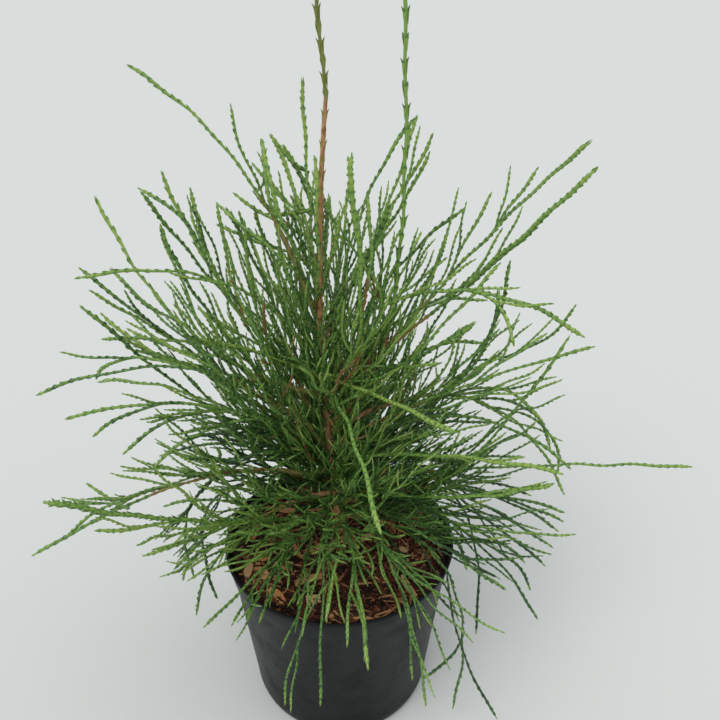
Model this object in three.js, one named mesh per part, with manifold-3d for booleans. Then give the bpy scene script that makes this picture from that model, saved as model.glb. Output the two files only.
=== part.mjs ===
// A potted thread-leaf arborvitae: a young conifer with long whip-like shoots, in a round black
// nursery pot of bark compost. Millimetres, +Z up, and the origin is the middle of the pot's
// flat underside. The viewer stands towards -Y.
import * as THREE from 'three';
import Module from 'manifold-3d';
import { mergeVertices } from 'three/addons/utils/BufferGeometryUtils.js';

const wasm = await Module();
wasm.setup();
const { Manifold, Mesh } = wasm;

// Clearance between neighbouring solids.
const GAP = 0.35;

// The pot: a tapered wall with a low collar under the rim and a rounded foot.
const POT_HEIGHT = 106;
const RIM_RADIUS = 65;
const LIP_HEIGHT = 2;
const LIP_THICKNESS = 1.8;
const COLLAR_HEIGHT = 14;
const COLLAR_STEP = 1;
const FOOT_RADIUS = 49;
const FOOT_CURVE = 12;
const FOOT_SHOULDER = 53;
const WALL_TOP_RADIUS = 61.5;
const WALL = 1.3;
const FLOOR = 2.5;
const POT_SIDES = 36;
const DRAIN_SLOTS = 8;
const DRAIN_WIDTH = 9;
const DRAIN_HEIGHT = 6;
const DRAIN_DEPTH = 8;

// The compost: level round the stem, falling a little to the wall, with bark chips on top.
const SOIL_TOP = 101;
const SOIL_EDGE = 99;
const SOIL_LEVEL_RADIUS = 24;
const CHIPS = 12;
const CHIP_INNER = 26;
const CHIP_OUTER = 48;
const CHIP_HEIGHT = 3;
const CHIP_SUNK = 1.5;

// The trunk, which stands a little behind the middle of the pot.
const FOOT_X = 0;
const FOOT_Y = 12;
const TRUNK_TOP = 345;
const TRUNK_FLARE = 2.4;
const FLARE_HEIGHT = 7;
const TRUNK_RADIUS = 3.2;
const TRUNK_TIP_RADIUS = 0.9;
const TRUNK_TAPER = 0.4;
const TRUNK_SWAY = 8.2;
const SWAY_TURN = 0.88;
const TRUNK_SIDES = 8;
const TRUNK_RINGS = 14;

// Woody boughs and the cords of scale leaves that grow on from them. The cords are a little
// thicker than the real ones, which are finer and closer together.
const ROOT_RADIUS = 0.8;
const BOUGH_RADIUS = 1.6;
const BOUGH_TIP_RADIUS = 1.05;
const BOUGH_SIDES = 6;
const BOUGH_RING = 14;
const MAIN_RADIUS = 2;
const FORK_RADIUS = 1.9;
const SIDE_RADIUS = 1.8;
const WAIST = 0.62;
const CORD_SIDES = 3;
const SCALE_PITCH = 14;
const TIP_LENGTH = 6;
const FORK_FIRST = 0.58;
const FORK_LAST = 0.22;
const FORK_BOW = 0.3;

// Side shoots stand on the inner part of a whip, turned round it by the golden angle. Above
// the lift height they turn upwards, as the shoots in the middle of the crown do.
const SIDE_SPACING = 25;
const SIDE_SHORTEST = 30;
const SIDE_LONGEST = 78;
const SIDE_BARE = 0.45;
const SIDE_FAN = 15;
const SIDE_FAN_RANGE = 14;
const GOLDEN_ANGLE = 137.5;
const LIFT_HEIGHT = 130;
const LIFT = 0.32;

// The limbs, each with its height on the trunk, the length of its woody bough, and its main
// whip's azimuth, reach from the trunk's foot and tip height. Azimuth 0 is +X and 90 is +Y. Bow
// lifts the whip's curve off the straight line at the share of the way named turn. Forks fan
// out from the main whip: each ends swing further round, spread further out and rise higher
// than the one before. Bare is the outer share of a whip that has no side shoots.
const LIMBS = [
  { name: 'leader_top', leaves: TRUNK_TOP, azimuth: 169, reach: 10, tip: 431, bare: 1 },
  { name: 'second_leader', leaves: 176, wood: 84, azimuth: -4, reach: 26, tip: 428,
    bow: -46, turn: 0.15, bare: 0.55 },
  { name: 'left_far_high', leaves: 240, wood: 44, azimuth: 169, reach: 93, tip: 354,
    bow: 30, turn: 0.6, bare: 0.6 },
  { name: 'top_left', leaves: 250, azimuth: 128, reach: 23, tip: 349, bow: -8, bare: 0.7,
    forks: 2, swing: 28, spread: 4, rise: -28 },
  { name: 'top_back_left', leaves: 238, azimuth: 125, reach: 58, tip: 318, bow: -12,
    forks: 3, swing: 9, spread: 4, rise: -14 },
  { name: 'left_upright', leaves: 178, wood: 30, azimuth: 189, reach: 76, tip: 315, bow: -12,
    forks: 3, swing: -4, spread: -11, rise: -9 },
  { name: 'left_wide', leaves: 185, wood: 36, azimuth: 192, reach: 104, tip: 307, bow: -30,
    forks: 2, swing: -8, spread: 2, rise: -39 },
  { name: 'left_arch', leaves: 208, azimuth: 201, reach: 117, tip: 278, bow: 48,
    forks: 1, swing: -11, spread: -31, rise: 31 },
  { name: 'left_mid', leaves: 176, wood: 40, azimuth: 181, reach: 123, tip: 266, bow: -8,
    forks: 3, swing: 3, spread: -5, rise: -9 },
  { name: 'left_low_arch', leaves: 162, wood: 36, azimuth: 193, reach: 147, tip: 214, bow: 78,
    forks: 1, swing: -7, spread: -25, rise: -4 },
  { name: 'left_low', leaves: 150, azimuth: 194, reach: 136, tip: 200, bow: 50,
    forks: 3, swing: 2, spread: -12, rise: -10 },
  { name: 'left_hang', leaves: 128, wood: 30, azimuth: 208, reach: 91, tip: 75, bow: 50,
    forks: 3, swing: -5, spread: 2, rise: 20 },
  { name: 'left_front_long', leaves: 113, azimuth: 210, reach: 150, tip: 184, bow: -8,
    forks: 2, swing: 2, spread: -18, rise: -22 },
  { name: 'left_brown', leaves: 132, wood: 48, azimuth: 194, reach: 168, tip: 117, bow: 48,
    turn: 0.3, forks: 2, swing: -1, spread: -16, rise: 6 },
  { name: 'front_left_long', leaves: 125, azimuth: 240, reach: 117, tip: 133, bow: 2,
    forks: 2, swing: 6, spread: -5, rise: 2 },
  { name: 'front_left_hang', leaves: 136, azimuth: 266, reach: 107, tip: 86, bow: 48,
    forks: 1, swing: -10, spread: -2, rise: -7 },
  { name: 'front_mid', leaves: 124, azimuth: 278, reach: 113, tip: 118, bow: 36,
    forks: 2, swing: -5, spread: -3, rise: 13 },
  { name: 'front_right_long', leaves: 142, azimuth: 296, reach: 103, tip: 65, bow: 56,
    forks: 1, swing: -5, rise: 25 },
  { name: 'front_up', leaves: 196, azimuth: 279, reach: 124, tip: 209, bow: 26, bare: 0.6 },
  { name: 'front_right_up', leaves: 205, azimuth: 295, reach: 112, tip: 240, bow: 4, bare: 0.5 },
  { name: 'right_front', leaves: 152, azimuth: 329, reach: 122, tip: 190, bow: 12 },
  { name: 'right_far', leaves: 134, wood: 50, azimuth: 359, reach: 196, tip: 148, bow: 12, bare: 0.6 },
  { name: 'right_arch', leaves: 224, azimuth: 349, reach: 120, tip: 240, bow: 56,
    forks: 1, swing: -15, spread: -30, rise: 4 },
  { name: 'right_high', leaves: 194, wood: 52, azimuth: 359, reach: 118, tip: 314, bow: -12,
    forks: 2, swing: 3, spread: -14, rise: -18 },
  { name: 'right_high_back', leaves: 182, wood: 48, azimuth: 13, reach: 125, tip: 318, bow: 3,
    turn: 0.7, bare: 0.6, forks: 2, swing: 3, spread: -22, rise: -12 },
  { name: 'top_right', leaves: 238, azimuth: 318, reach: 33, tip: 305, bow: -8, bare: 0.6,
    forks: 1, swing: 15, spread: -3, rise: -4 },
  { name: 'top_back_right', leaves: 230, azimuth: 50, reach: 62, tip: 327, bow: -14,
    forks: 2, swing: -20, spread: -9, rise: -4 },
  { name: 'top_front', leaves: 176, azimuth: 281, reach: 33, tip: 327, bow: -22, turn: 0.3,
    forks: 2, swing: 20, spread: -5, rise: -18 },
  { name: 'right_up_thin', leaves: 154, azimuth: 22, reach: 99, tip: 254, bow: -60, turn: 0.6,
    forks: 1, swing: -14, spread: 27, rise: -17 },
  { name: 'right_mid', leaves: 162, azimuth: 355, reach: 128, tip: 228, bow: 10,
    forks: 2, swing: 12, spread: -17, rise: -6 },
  { name: 'right_diagonal', leaves: 132, azimuth: 345, reach: 113, tip: 244, bow: -50, turn: 0.15 },
  { name: 'right_bend', leaves: 176, wood: 40, azimuth: 5, reach: 134, tip: 116, bow: 86,
    turn: 0.4, forks: 4, swing: -2, spread: -8, rise: 20 },
  { name: 'right_droop', leaves: 128, wood: 34, azimuth: -5, reach: 127, tip: 122, bow: 24,
    forks: 3, swing: -4, spread: -3, rise: -6 },
  { name: 'right_hang', leaves: 146, azimuth: -21, reach: 119, tip: 72, bow: 42,
    forks: 3, swing: 3, spread: -6, rise: 14 },
  { name: 'right_bottom', leaves: 112, wood: 30, azimuth: -39, reach: 85, tip: 8, bow: 112,
    turn: 0.18, bare: 0.7 },
  { name: 'back_high', leaves: 214, azimuth: 85, reach: 84, tip: 300, bow: -14,
    forks: 2, swing: 15, spread: -14, rise: -6 },
  { name: 'back_right', leaves: 190, azimuth: 65, reach: 118, tip: 245, bow: -8,
    forks: 2, swing: -12, spread: -12, rise: -8 },
  { name: 'back_left', leaves: 172, azimuth: 120, reach: 124, tip: 230, bow: -8,
    forks: 2, swing: 12, spread: -10, rise: -8 },
  { name: 'back_mid', leaves: 150, azimuth: 84, reach: 130, tip: 190, bow: 20,
    forks: 3, swing: 12, spread: -8, rise: 6 },
  { name: 'back_low_right', leaves: 128, azimuth: 60, reach: 128, tip: 105, bow: 40,
    forks: 2, swing: -14, spread: -6, rise: 14 },
  { name: 'back_low_left', leaves: 126, azimuth: 140, reach: 126, tip: 108, bow: 38,
    forks: 2, swing: 14, spread: -8, rise: 14 },
  { name: 'back_low', leaves: 120, azimuth: 92, reach: 118, tip: 84, bow: 44,
    forks: 2, swing: 14, spread: -4, rise: 8 },
];

const part = new THREE.Group();
const wood = new THREE.MeshStandardMaterial({ color: 0x8a5a3a, roughness: 0.85 });
const green = new THREE.MeshStandardMaterial({ color: 0x3f6b2c, roughness: 0.6 });
const potBlack = new THREE.MeshStandardMaterial({ color: 0x2b2d30, roughness: 0.55 });
const compost = new THREE.MeshStandardMaterial({ color: 0x3d2416, roughness: 0.95 });

// Small tools: repeatable random numbers, and solids from geometry and back.
function seeded(seed) {
  let state = seed >>> 0;
  return () => {
    state = (Math.imul(state, 1664525) + 1013904223) >>> 0;
    return state / 4294967296;
  };
}

const { degToRad: radians, mapLinear } = THREE.MathUtils;

function solidOf(geometry) {
  const bare = geometry.clone();
  bare.deleteAttribute('normal');
  bare.deleteAttribute('uv');
  const merged = mergeVertices(bare, 1e-4);
  return new Manifold(new Mesh({
    numProp: 3,
    vertProperties: merged.attributes.position.array,
    triVerts: new Uint32Array(merged.index.array),
  }));
}

function geometryOf(solid) {
  const mesh = solid.getMesh();
  const geometry = new THREE.BufferGeometry();
  geometry.setAttribute('position', new THREE.BufferAttribute(mesh.vertProperties, 3));
  geometry.setIndex(new THREE.BufferAttribute(mesh.triVerts, 1));
  return geometry;
}

function add(name, solid, material) {
  const mesh = new THREE.Mesh(geometryOf(solid), material);
  mesh.name = name;
  part.add(mesh);
}

function lathe(profile) {
  const points = profile.map(([radius, height]) => new THREE.Vector2(radius, height));
  return solidOf(new THREE.LatheGeometry(points, POT_SIDES).rotateX(Math.PI / 2));
}

function quarterArc(fromRadius, fromHeight, toRadius, toHeight, steps) {
  const points = [];
  for (let i = 0; i <= steps; i += 1) {
    const angle = (i / steps) * Math.PI / 2;
    points.push([
      fromRadius + (toRadius - fromRadius) * Math.sin(angle),
      toHeight + (fromHeight - toHeight) * Math.cos(angle),
    ]);
  }
  return points;
}

// The pot is turned from its profile, then its drain slots are cut through the rounded foot.
// A little compost shows in each slot.
const COLLAR_FOOT = POT_HEIGHT - COLLAR_HEIGHT;
const COLLAR_RADIUS = WALL_TOP_RADIUS + COLLAR_STEP;

function innerRadius(height) {
  const [low, knee, rim] = [FOOT_SHOULDER - WALL, WALL_TOP_RADIUS - WALL, RIM_RADIUS - LIP_THICKNESS];
  if (height < COLLAR_FOOT) return mapLinear(height, FOOT_CURVE, COLLAR_FOOT, low, knee);
  return mapLinear(height, COLLAR_FOOT, POT_HEIGHT, knee, rim);
}

function makePot() {
  const inner = quarterArc(FOOT_RADIUS - 1, FLOOR, innerRadius(FOOT_CURVE), FOOT_CURVE, 2);
  let shell = lathe([
    [0, 0],
    ...quarterArc(FOOT_RADIUS, 0, FOOT_SHOULDER, FOOT_CURVE, 3),
    [WALL_TOP_RADIUS, COLLAR_FOOT],
    [COLLAR_RADIUS, COLLAR_FOOT + 1],
    [RIM_RADIUS - 1, POT_HEIGHT - LIP_HEIGHT],
    [RIM_RADIUS, POT_HEIGHT - LIP_HEIGHT + 1],
    [RIM_RADIUS, POT_HEIGHT],
    [innerRadius(POT_HEIGHT), POT_HEIGHT],
    [innerRadius(COLLAR_FOOT), COLLAR_FOOT],
    ...inner.reverse(),
    [0, FLOOR],
  ]);
  for (let i = 0; i < DRAIN_SLOTS; i += 1) {
    const slot = new THREE.BoxGeometry(DRAIN_DEPTH, DRAIN_WIDTH, DRAIN_HEIGHT)
      .translate(FOOT_RADIUS + DRAIN_DEPTH / 2 - 2, 0, DRAIN_HEIGHT / 2 - 1)
      .rotateZ((i + 0.5) * 2 * Math.PI / DRAIN_SLOTS);
    shell = shell.subtract(solidOf(slot));
  }
  return shell;
}

function makeSoil() {
  let soil = lathe([
    [0, FLOOR + GAP],
    [FOOT_RADIUS - 4, FLOOR + GAP],
    [innerRadius(FOOT_CURVE) - 1, FOOT_CURVE + 2],
    [innerRadius(COLLAR_FOOT) - 0.5, COLLAR_FOOT],
    [innerRadius(SOIL_EDGE) - 0.5, SOIL_EDGE],
    [SOIL_LEVEL_RADIUS, SOIL_TOP],
    [0, SOIL_TOP],
  ]);
  const random = seeded(7);
  for (let i = 0; i < CHIPS; i += 1) {
    const turn = radians(i * GOLDEN_ANGLE + random() * 30);
    const out = CHIP_INNER + (CHIP_OUTER - CHIP_INNER) * Math.sqrt((i + 0.5) / CHIPS);
    const chip = new THREE.BoxGeometry(9 + random() * 9, 3 + random() * 3, CHIP_HEIGHT)
      .rotateY((random() - 0.5) * 0.3)
      .rotateZ(random() * Math.PI)
      .translate(out * Math.cos(turn), out * Math.sin(turn), SOIL_TOP - CHIP_SUNK);
    soil = soil.add(solidOf(chip));
  }
  return soil;
}

// The trunk's middle line sways to the left and back. It tapers fast at first, then slowly.
function trunkCentre(height) {
  const share = (height - SOIL_TOP) / (TRUNK_TOP - SOIL_TOP);
  const sway = -TRUNK_SWAY * Math.sin(Math.PI * SWAY_TURN * share);
  return new THREE.Vector3(FOOT_X + sway, FOOT_Y, height);
}

function trunkRadius(height) {
  const share = Math.max(0, (height - SOIL_TOP) / (TRUNK_TOP - SOIL_TOP));
  const flare = TRUNK_FLARE * Math.max(0, 1 - (height - SOIL_TOP) / FLARE_HEIGHT) ** 2;
  return TRUNK_RADIUS + (TRUNK_TIP_RADIUS - TRUNK_RADIUS) * share ** TRUNK_TAPER + flare;
}

// A whip is a curve with two ends and a control point. Its bow lies in its own upright plane,
// and its bend is level.
function whip(from, to, bow, turn, bend) {
  const chord = to.clone().sub(from);
  const across = new THREE.Vector3(-chord.y, chord.x, 0);
  if (across.length() < 1) across.set(0, 1, 0);
  across.normalize();
  const over = chord.clone().cross(across).normalize();
  if (over.z < 0) over.negate();
  const control = from.clone().addScaledVector(chord, turn)
    .addScaledVector(over, bow).addScaledVector(across, bend);
  const curve = new THREE.QuadraticBezierCurve3(from, control, to);
  return { curve, length: curve.getLength(), across };
}

// Every limb claims the space that it fills, so that no other limb grows through it.
const CELL = 8;
const STEP = 2;
const ROOT_ZONE = 7;
const claims = new Map();

function cellOf(p) {
  return [p.x, p.y, p.z].map((v) => Math.floor(v / CELL));
}

function samples(curve, length) {
  return curve.getPoints(Math.max(2, Math.ceil(length / STEP)));
}

function claim(points, radius, owner) {
  for (const p of points) {
    const key = cellOf(p).join();
    if (!claims.has(key)) claims.set(key, []);
    claims.get(key).push({ p, radius, owner });
  }
}

function nearby(p) {
  const [i, j, k] = cellOf(p);
  const found = [];
  for (let n = 0; n < 27; n += 1) {
    const key = [i + n % 3 - 1, j + Math.floor(n / 3) % 3 - 1, k + Math.floor(n / 9) - 1].join();
    found.push(...(claims.get(key) ?? []));
  }
  return found;
}

// The pot, the compost and the table are solid too.
function isBlocked(p) {
  const out = Math.hypot(p.x, p.y);
  if (out > RIM_RADIUS + 3) return p.z < 4;
  return p.z < (out > RIM_RADIUS - 6 ? POT_HEIGHT : SOIL_TOP) + 4;
}

function countClashes(points, radius, limb) {
  let count = 0;
  for (const p of points) {
    if (isBlocked(p)) count += 1;
    const atRoot = p.distanceTo(points[0]) < ROOT_ZONE;
    for (const other of nearby(p)) {
      const allowed = other.owner === limb || (atRoot && other.owner === 'trunk');
      if (!allowed && p.distanceTo(other.p) < radius + other.radius + 2 * GAP) count += 1;
    }
  }
  return count;
}

const BENDS = [0, 6, -6, 12, -12, 18, -18, 26, -26];
const SHIFTS = [0, 3, -3, 6, -6, 9, -9, 12, -12];

function around(azimuth, reach, height) {
  const angle = radians(azimuth);
  return new THREE.Vector3(
    FOOT_X + reach * Math.cos(angle),
    FOOT_Y + reach * Math.sin(angle),
    height,
  );
}

// A limb starts beside the trunk, further out where it leaves steeply, as its end is then
// turned flat to the trunk.
function rootOf({ azimuth, leaves }, height, steepness) {
  const root = trunkCentre(height);
  if (leaves === TRUNK_TOP) return root.setZ(leaves + GAP);
  const outward = around(azimuth, 1, 0).sub(around(azimuth, 0, 0));
  return root.addScaledVector(outward, trunkRadius(height) + GAP + ROOT_RADIUS * steepness);
}

// Limbs are placed in turn. A main whip that would touch another bends aside, or starts a
// little higher or lower on the trunk.
function placeMain(limb) {
  const { name, azimuth, reach, tip, bow = 0, turn = 0.5 } = limb;
  const shifts = limb.leaves === TRUNK_TOP ? [0] : SHIFTS;
  let best = { count: Infinity };
  for (const shift of shifts) {
    for (const bend of BENDS) {
      if (best.count === 0) break;
      const height = limb.leaves + shift;
      const to = around(azimuth, reach, tip);
      const trial = whip(rootOf(limb, height, 1), to, bow, turn, bend);
      const steepness = Math.abs(trial.curve.getTangent(0).z);
      const made = whip(rootOf(limb, height, steepness), to, bow, turn, bend);
      const points = samples(made.curve, made.length);
      const count = countClashes(points, MAIN_RADIUS, name);
      if (count < best.count) best = { ...made, count, points };
    }
  }
  claim(best.points, MAIN_RADIUS, name);
  const split = (limb.wood ?? 0) / best.length;
  const bare = limb.bare ?? SIDE_BARE;
  return { ...limb, split, bare, cords: [{ ...best, radius: MAIN_RADIUS, start: split }] };
}

function placeCord(limb, from, to, bow, radius, bends) {
  for (const bend of bends) {
    const made = whip(from, to, bow, 0.5, bend);
    const points = samples(made.curve, made.length);
    if (countClashes(points, radius, limb.name) === 0) {
      claim(points, radius, limb.name);
      const cord = { ...made, radius, start: 0 };
      limb.cords.push(cord);
      return cord;
    }
  }
  return null;
}

function placeForks(limb) {
  const { azimuth, reach, tip, bow = 0, forks = 0, swing, spread = 0, rise } = limb;
  for (let k = 1; k <= forks; k += 1) {
    const share = FORK_FIRST + (FORK_LAST - FORK_FIRST) * (k - 1) / forks;
    const from = limb.cords[0].curve.getPoint(Math.max(share, limb.split + 0.04));
    const to = around(azimuth + k * swing, reach + k * spread, tip + k * rise);
    placeCord(limb, from, to, bow * FORK_BOW, FORK_RADIUS, BENDS);
  }
}

function placeSide(limb, parent, share, roll, fan, wanted) {
  const from = parent.curve.getPoint(share);
  const along = parent.curve.getTangent(share);
  const over = along.clone().cross(parent.across).normalize();
  const length = THREE.MathUtils.clamp(wanted, SIDE_SHORTEST, SIDE_LONGEST);
  for (let attempt = 0; attempt < 4; attempt += 1) {
    const angle = radians(roll + attempt * 75);
    const direction = along.clone().multiplyScalar(Math.cos(radians(fan)))
      .addScaledVector(parent.across, Math.sin(radians(fan)) * Math.cos(angle))
      .addScaledVector(over, Math.sin(radians(fan)) * Math.sin(angle));
    if (from.z > LIFT_HEIGHT) direction.z += LIFT;
    const to = from.clone().addScaledVector(direction.normalize(), length);
    if (placeCord(limb, from, to, -0.06 * length, SIDE_RADIUS, [0])) return;
  }
}

function growSides(limb, index) {
  const random = seeded(100 + index);
  for (const parent of [...limb.cords]) {
    const usable = (1 - limb.bare) - parent.start;
    const count = Math.round(parent.length * usable / SIDE_SPACING);
    for (let k = 0; k < count; k += 1) {
      const share = parent.start + usable * (k + 0.15 + 0.7 * random()) / count;
      const fan = SIDE_FAN + SIDE_FAN_RANGE * random();
      const roll = k * GOLDEN_ANGLE + 50 * random();
      const length = (1 - share) * parent.length * (0.4 + 0.35 * random());
      placeSide(limb, parent, share, roll, fan, length);
    }
  }
}

// A sweep of rings along points, closed at both ends. Rings alternate between the two turns,
// and a radius of 0 ends the sweep in a point.
function sweep(points, radii, sides, stagger) {
  const vertices = [];
  const triangles = [];
  const rings = [];
  let normal = null;
  points.forEach((p, i) => {
    const before = points[Math.max(0, i - 1)];
    const after = points[Math.min(points.length - 1, i + 1)];
    const tangent = after.clone().sub(before).normalize();
    if (!normal) normal = new THREE.Vector3(1, 0, 0).cross(tangent);
    if (normal.lengthSq() < 1e-6) normal.set(0, 1, 0);
    normal.addScaledVector(tangent, -normal.dot(tangent)).normalize();
    const binormal = tangent.clone().cross(normal);
    const ring = [];
    for (let s = 0; s < (radii[i] ? sides : 1); s += 1) {
      const angle = (s + (stagger && i % 2 ? 0.5 : 0)) * 2 * Math.PI / sides;
      ring.push(vertices.length / 3);
      const v = p.clone().addScaledVector(normal, radii[i] * Math.cos(angle))
        .addScaledVector(binormal, radii[i] * Math.sin(angle));
      vertices.push(v.x, v.y, v.z);
    }
    rings.push(ring);
  });
  const at = (ring, s) => ring[s % ring.length];
  for (let i = 0; i + 1 < rings.length; i += 1) {
    const [low, high] = [rings[i], rings[i + 1]];
    const odd = stagger && i % 2 ? 1 : 0;
    for (let s = 0; s < sides; s += 1) {
      if (high.length === 1) triangles.push(at(low, s), at(low, s + 1), high[0]);
      else {
        triangles.push(at(low, s), at(low, s + 1), at(high, s + odd));
        triangles.push(at(low, s + 1), at(high, s + 1 + odd), at(high, s + odd));
      }
    }
  }
  const last = rings[rings.length - 1];
  for (let s = 1; s + 1 < sides; s += 1) {
    triangles.push(rings[0][0], rings[0][s + 1], rings[0][s]);
    if (last.length > 1) triangles.push(last[0], last[s], last[s + 1]);
  }
  return new Manifold(new Mesh({
    numProp: 3,
    vertProperties: new Float32Array(vertices),
    triVerts: new Uint32Array(triangles),
  }));
}

// A cord is a slim core whose scale leaves stand out at every other ring and point forward.
function cordSolid({ curve, length, radius, start }, rooted) {
  const own = length * (1 - start);
  const count = Math.max(2, Math.round((own - TIP_LENGTH) / SCALE_PITCH));
  const points = [];
  const radii = [];
  for (let i = 0; i <= count; i += 1) {
    const share = (i / count) * (1 - TIP_LENGTH / own);
    points.push(curve.getPoint(start + (1 - start) * share));
    radii.push(radius * (i % 2 ? 1 : WAIST));
  }
  if (rooted) radii[0] = ROOT_RADIUS;
  points.push(curve.getPoint(1));
  radii.push(0);
  return sweep(points, radii, CORD_SIDES, true);
}

function massSolid(limb) {
  const [main, ...others] = limb.cords;
  let solid = cordSolid(main, limb.split === 0 && limb.leaves !== TRUNK_TOP);
  for (const cord of others) solid = solid.add(cordSolid(cord, false));
  return solid;
}

function boughSolid(limb) {
  const { curve, length } = limb.cords[0];
  const end = limb.split - GAP / length;
  const rings = Math.max(2, Math.round(length * end / BOUGH_RING));
  const points = [];
  const radii = [];
  for (let i = 0; i <= rings; i += 1) {
    points.push(curve.getPoint(end * i / rings));
    radii.push(BOUGH_RADIUS + (BOUGH_TIP_RADIUS - BOUGH_RADIUS) * i / rings);
  }
  radii[0] = ROOT_RADIUS;
  return sweep(points, radii, BOUGH_SIDES, false);
}

function makeTrunk() {
  const points = [];
  const radii = [];
  for (let i = 0; i <= TRUNK_RINGS; i += 1) {
    const share = i / TRUNK_RINGS;
    const height = SOIL_TOP + GAP + (TRUNK_TOP - SOIL_TOP - GAP) * share ** 1.5;
    points.push(trunkCentre(height));
    radii.push(trunkRadius(height));
  }
  points[1].x = points[0].x;
  points[1].y = points[0].y;
  for (let height = SOIL_TOP; height < TRUNK_TOP; height += STEP) {
    claim([trunkCentre(height)], trunkRadius(height), 'trunk');
  }
  return sweep(points, radii, TRUNK_SIDES, false);
}

add('pot', makePot(), potBlack);
add('soil', makeSoil(), compost);
add('trunk', makeTrunk(), wood);

const limbs = LIMBS.map(placeMain);
limbs.forEach(placeForks);
limbs.forEach(growSides);
for (const limb of limbs) {
  if (limb.split) add('bough_' + limb.name, boughSolid(limb), wood);
  add('foliage_' + limb.name, massSolid(limb), green);
}

export default part;
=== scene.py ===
"""A potted thread-leaf arborvitae: long whip-like cords of scale leaves on a reddish-brown stem,
in a black nursery pot of bark compost. Lengths are named in millimetres, and turned into metres
where a mesh is made. The viewer stands towards -Y."""
import math
from dataclasses import dataclass, field

import bmesh
import bpy
import numpy as np
from mathutils import Matrix, Vector, noise


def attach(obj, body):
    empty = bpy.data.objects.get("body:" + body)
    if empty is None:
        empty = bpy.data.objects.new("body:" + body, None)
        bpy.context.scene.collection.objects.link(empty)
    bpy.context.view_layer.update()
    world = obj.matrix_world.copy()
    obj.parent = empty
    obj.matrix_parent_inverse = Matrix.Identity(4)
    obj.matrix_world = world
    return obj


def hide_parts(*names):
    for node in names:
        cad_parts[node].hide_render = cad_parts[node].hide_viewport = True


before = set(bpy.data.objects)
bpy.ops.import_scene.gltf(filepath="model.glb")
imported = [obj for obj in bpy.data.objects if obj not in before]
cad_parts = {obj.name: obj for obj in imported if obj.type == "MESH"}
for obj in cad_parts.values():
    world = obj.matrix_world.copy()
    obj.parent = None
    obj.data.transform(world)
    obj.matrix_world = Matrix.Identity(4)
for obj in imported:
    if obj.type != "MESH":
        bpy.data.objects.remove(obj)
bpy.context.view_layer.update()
MM = 0.001
UP = np.array([0.0, 0.0, 1.0])

# The pot
POT_HEIGHT = 106
RIM_RADIUS = 65
LIP_HEIGHT = 2
LIP_THICKNESS = 1.8
COLLAR_HEIGHT = 14
COLLAR_FOOT = POT_HEIGHT - COLLAR_HEIGHT
COLLAR_STEP = 1
FOOT_RADIUS = 49
FOOT_CURVE = 12
FOOT_SHOULDER = 53
WALL_TOP_RADIUS = 61.5
WALL = 1.3
FLOOR = 2.5
GROOVE_INNER = 8
GROOVE_OUTER = 3.5
GROOVE_DEPTH = 0.6
GROOVE_SLOPE = 0.5
RIM_BEAD = 0.9
SHARP_ANGLE = 40
SPIN_STEPS = 160
DRAIN_SLOTS = 8
DRAIN_WIDTH = 9
DRAIN_HEIGHT = 6
DRAIN_DEPTH = 8
DRAIN_INSET = 2
DRAIN_SUNK = 1

# The compost
SOIL_TOP = 101
SOIL_EDGE = 99
SOIL_LEVEL_RADIUS = 24
SOIL_RINGS = 44
SOIL_LUMPS = ((0.09, 3, 1.5), (0.35, 9, 0.8))
SOIL_SUNK = 0.9
SOIL_GAP = 0.5
SOIL_ROUND = 6
SOIL_SPIN_STEPS = 140
LITTER_INSET = 3
CRUMBS = 700
FIBRES = 2400
CHIPS = 70

# The trunk
FOOT_X = 0
FOOT_Y = 12
TRUNK_TOP = 345
TRUNK_FLARE = 2.4
FLARE_HEIGHT = 7
TRUNK_RADIUS = 3.2
TRUNK_TIP_RADIUS = 0.9
TRUNK_TAPER = 0.4
TRUNK_SWAY = 8.2
SWAY_TURN = 0.88

# The limbs' rule, with the sizes that the solids were grown by
GAP = 0.35
ROOT_RADIUS = 0.8
BOUGH_RADIUS = 1.6
BOUGH_TIP_RADIUS = 1.05
MAIN_RADIUS = 2
FORK_RADIUS = 1.9
SIDE_RADIUS = 1.8
FORK_FIRST = 0.58
FORK_LAST = 0.22
FORK_BOW = 0.3
FORK_PAST_WOOD = 0.04
SIDE_SPACING = 25
SIDE_SHORTEST = 30
SIDE_LONGEST = 78
SIDE_BARE = 0.45
SIDE_FIRST = 0.15
SIDE_STRAY = 0.7
SIDE_ROLL = 50
SIDE_FAN = 15
SIDE_FAN_RANGE = 14
SIDE_SHARE = 0.4
SIDE_SHARE_RANGE = 0.35
SIDE_BOW = -0.06
SIDE_TRIES = 4
SIDE_SEED = 100
TRY_TURN = 75
GOLDEN_ANGLE = 137.5
LIFT_HEIGHT = 130
LIFT = 0.32
STEP = 2
ROOT_ZONE = 7
NEAR = 8
INSIDE_RIM = 6
OUTSIDE_RIM = 3
HEADROOM = 4
BENDS = [0, 6, -6, 12, -12, 18, -18, 26, -26]
SHIFTS = [0, 3, -3, 6, -6, 9, -9, 12, -12]

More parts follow.
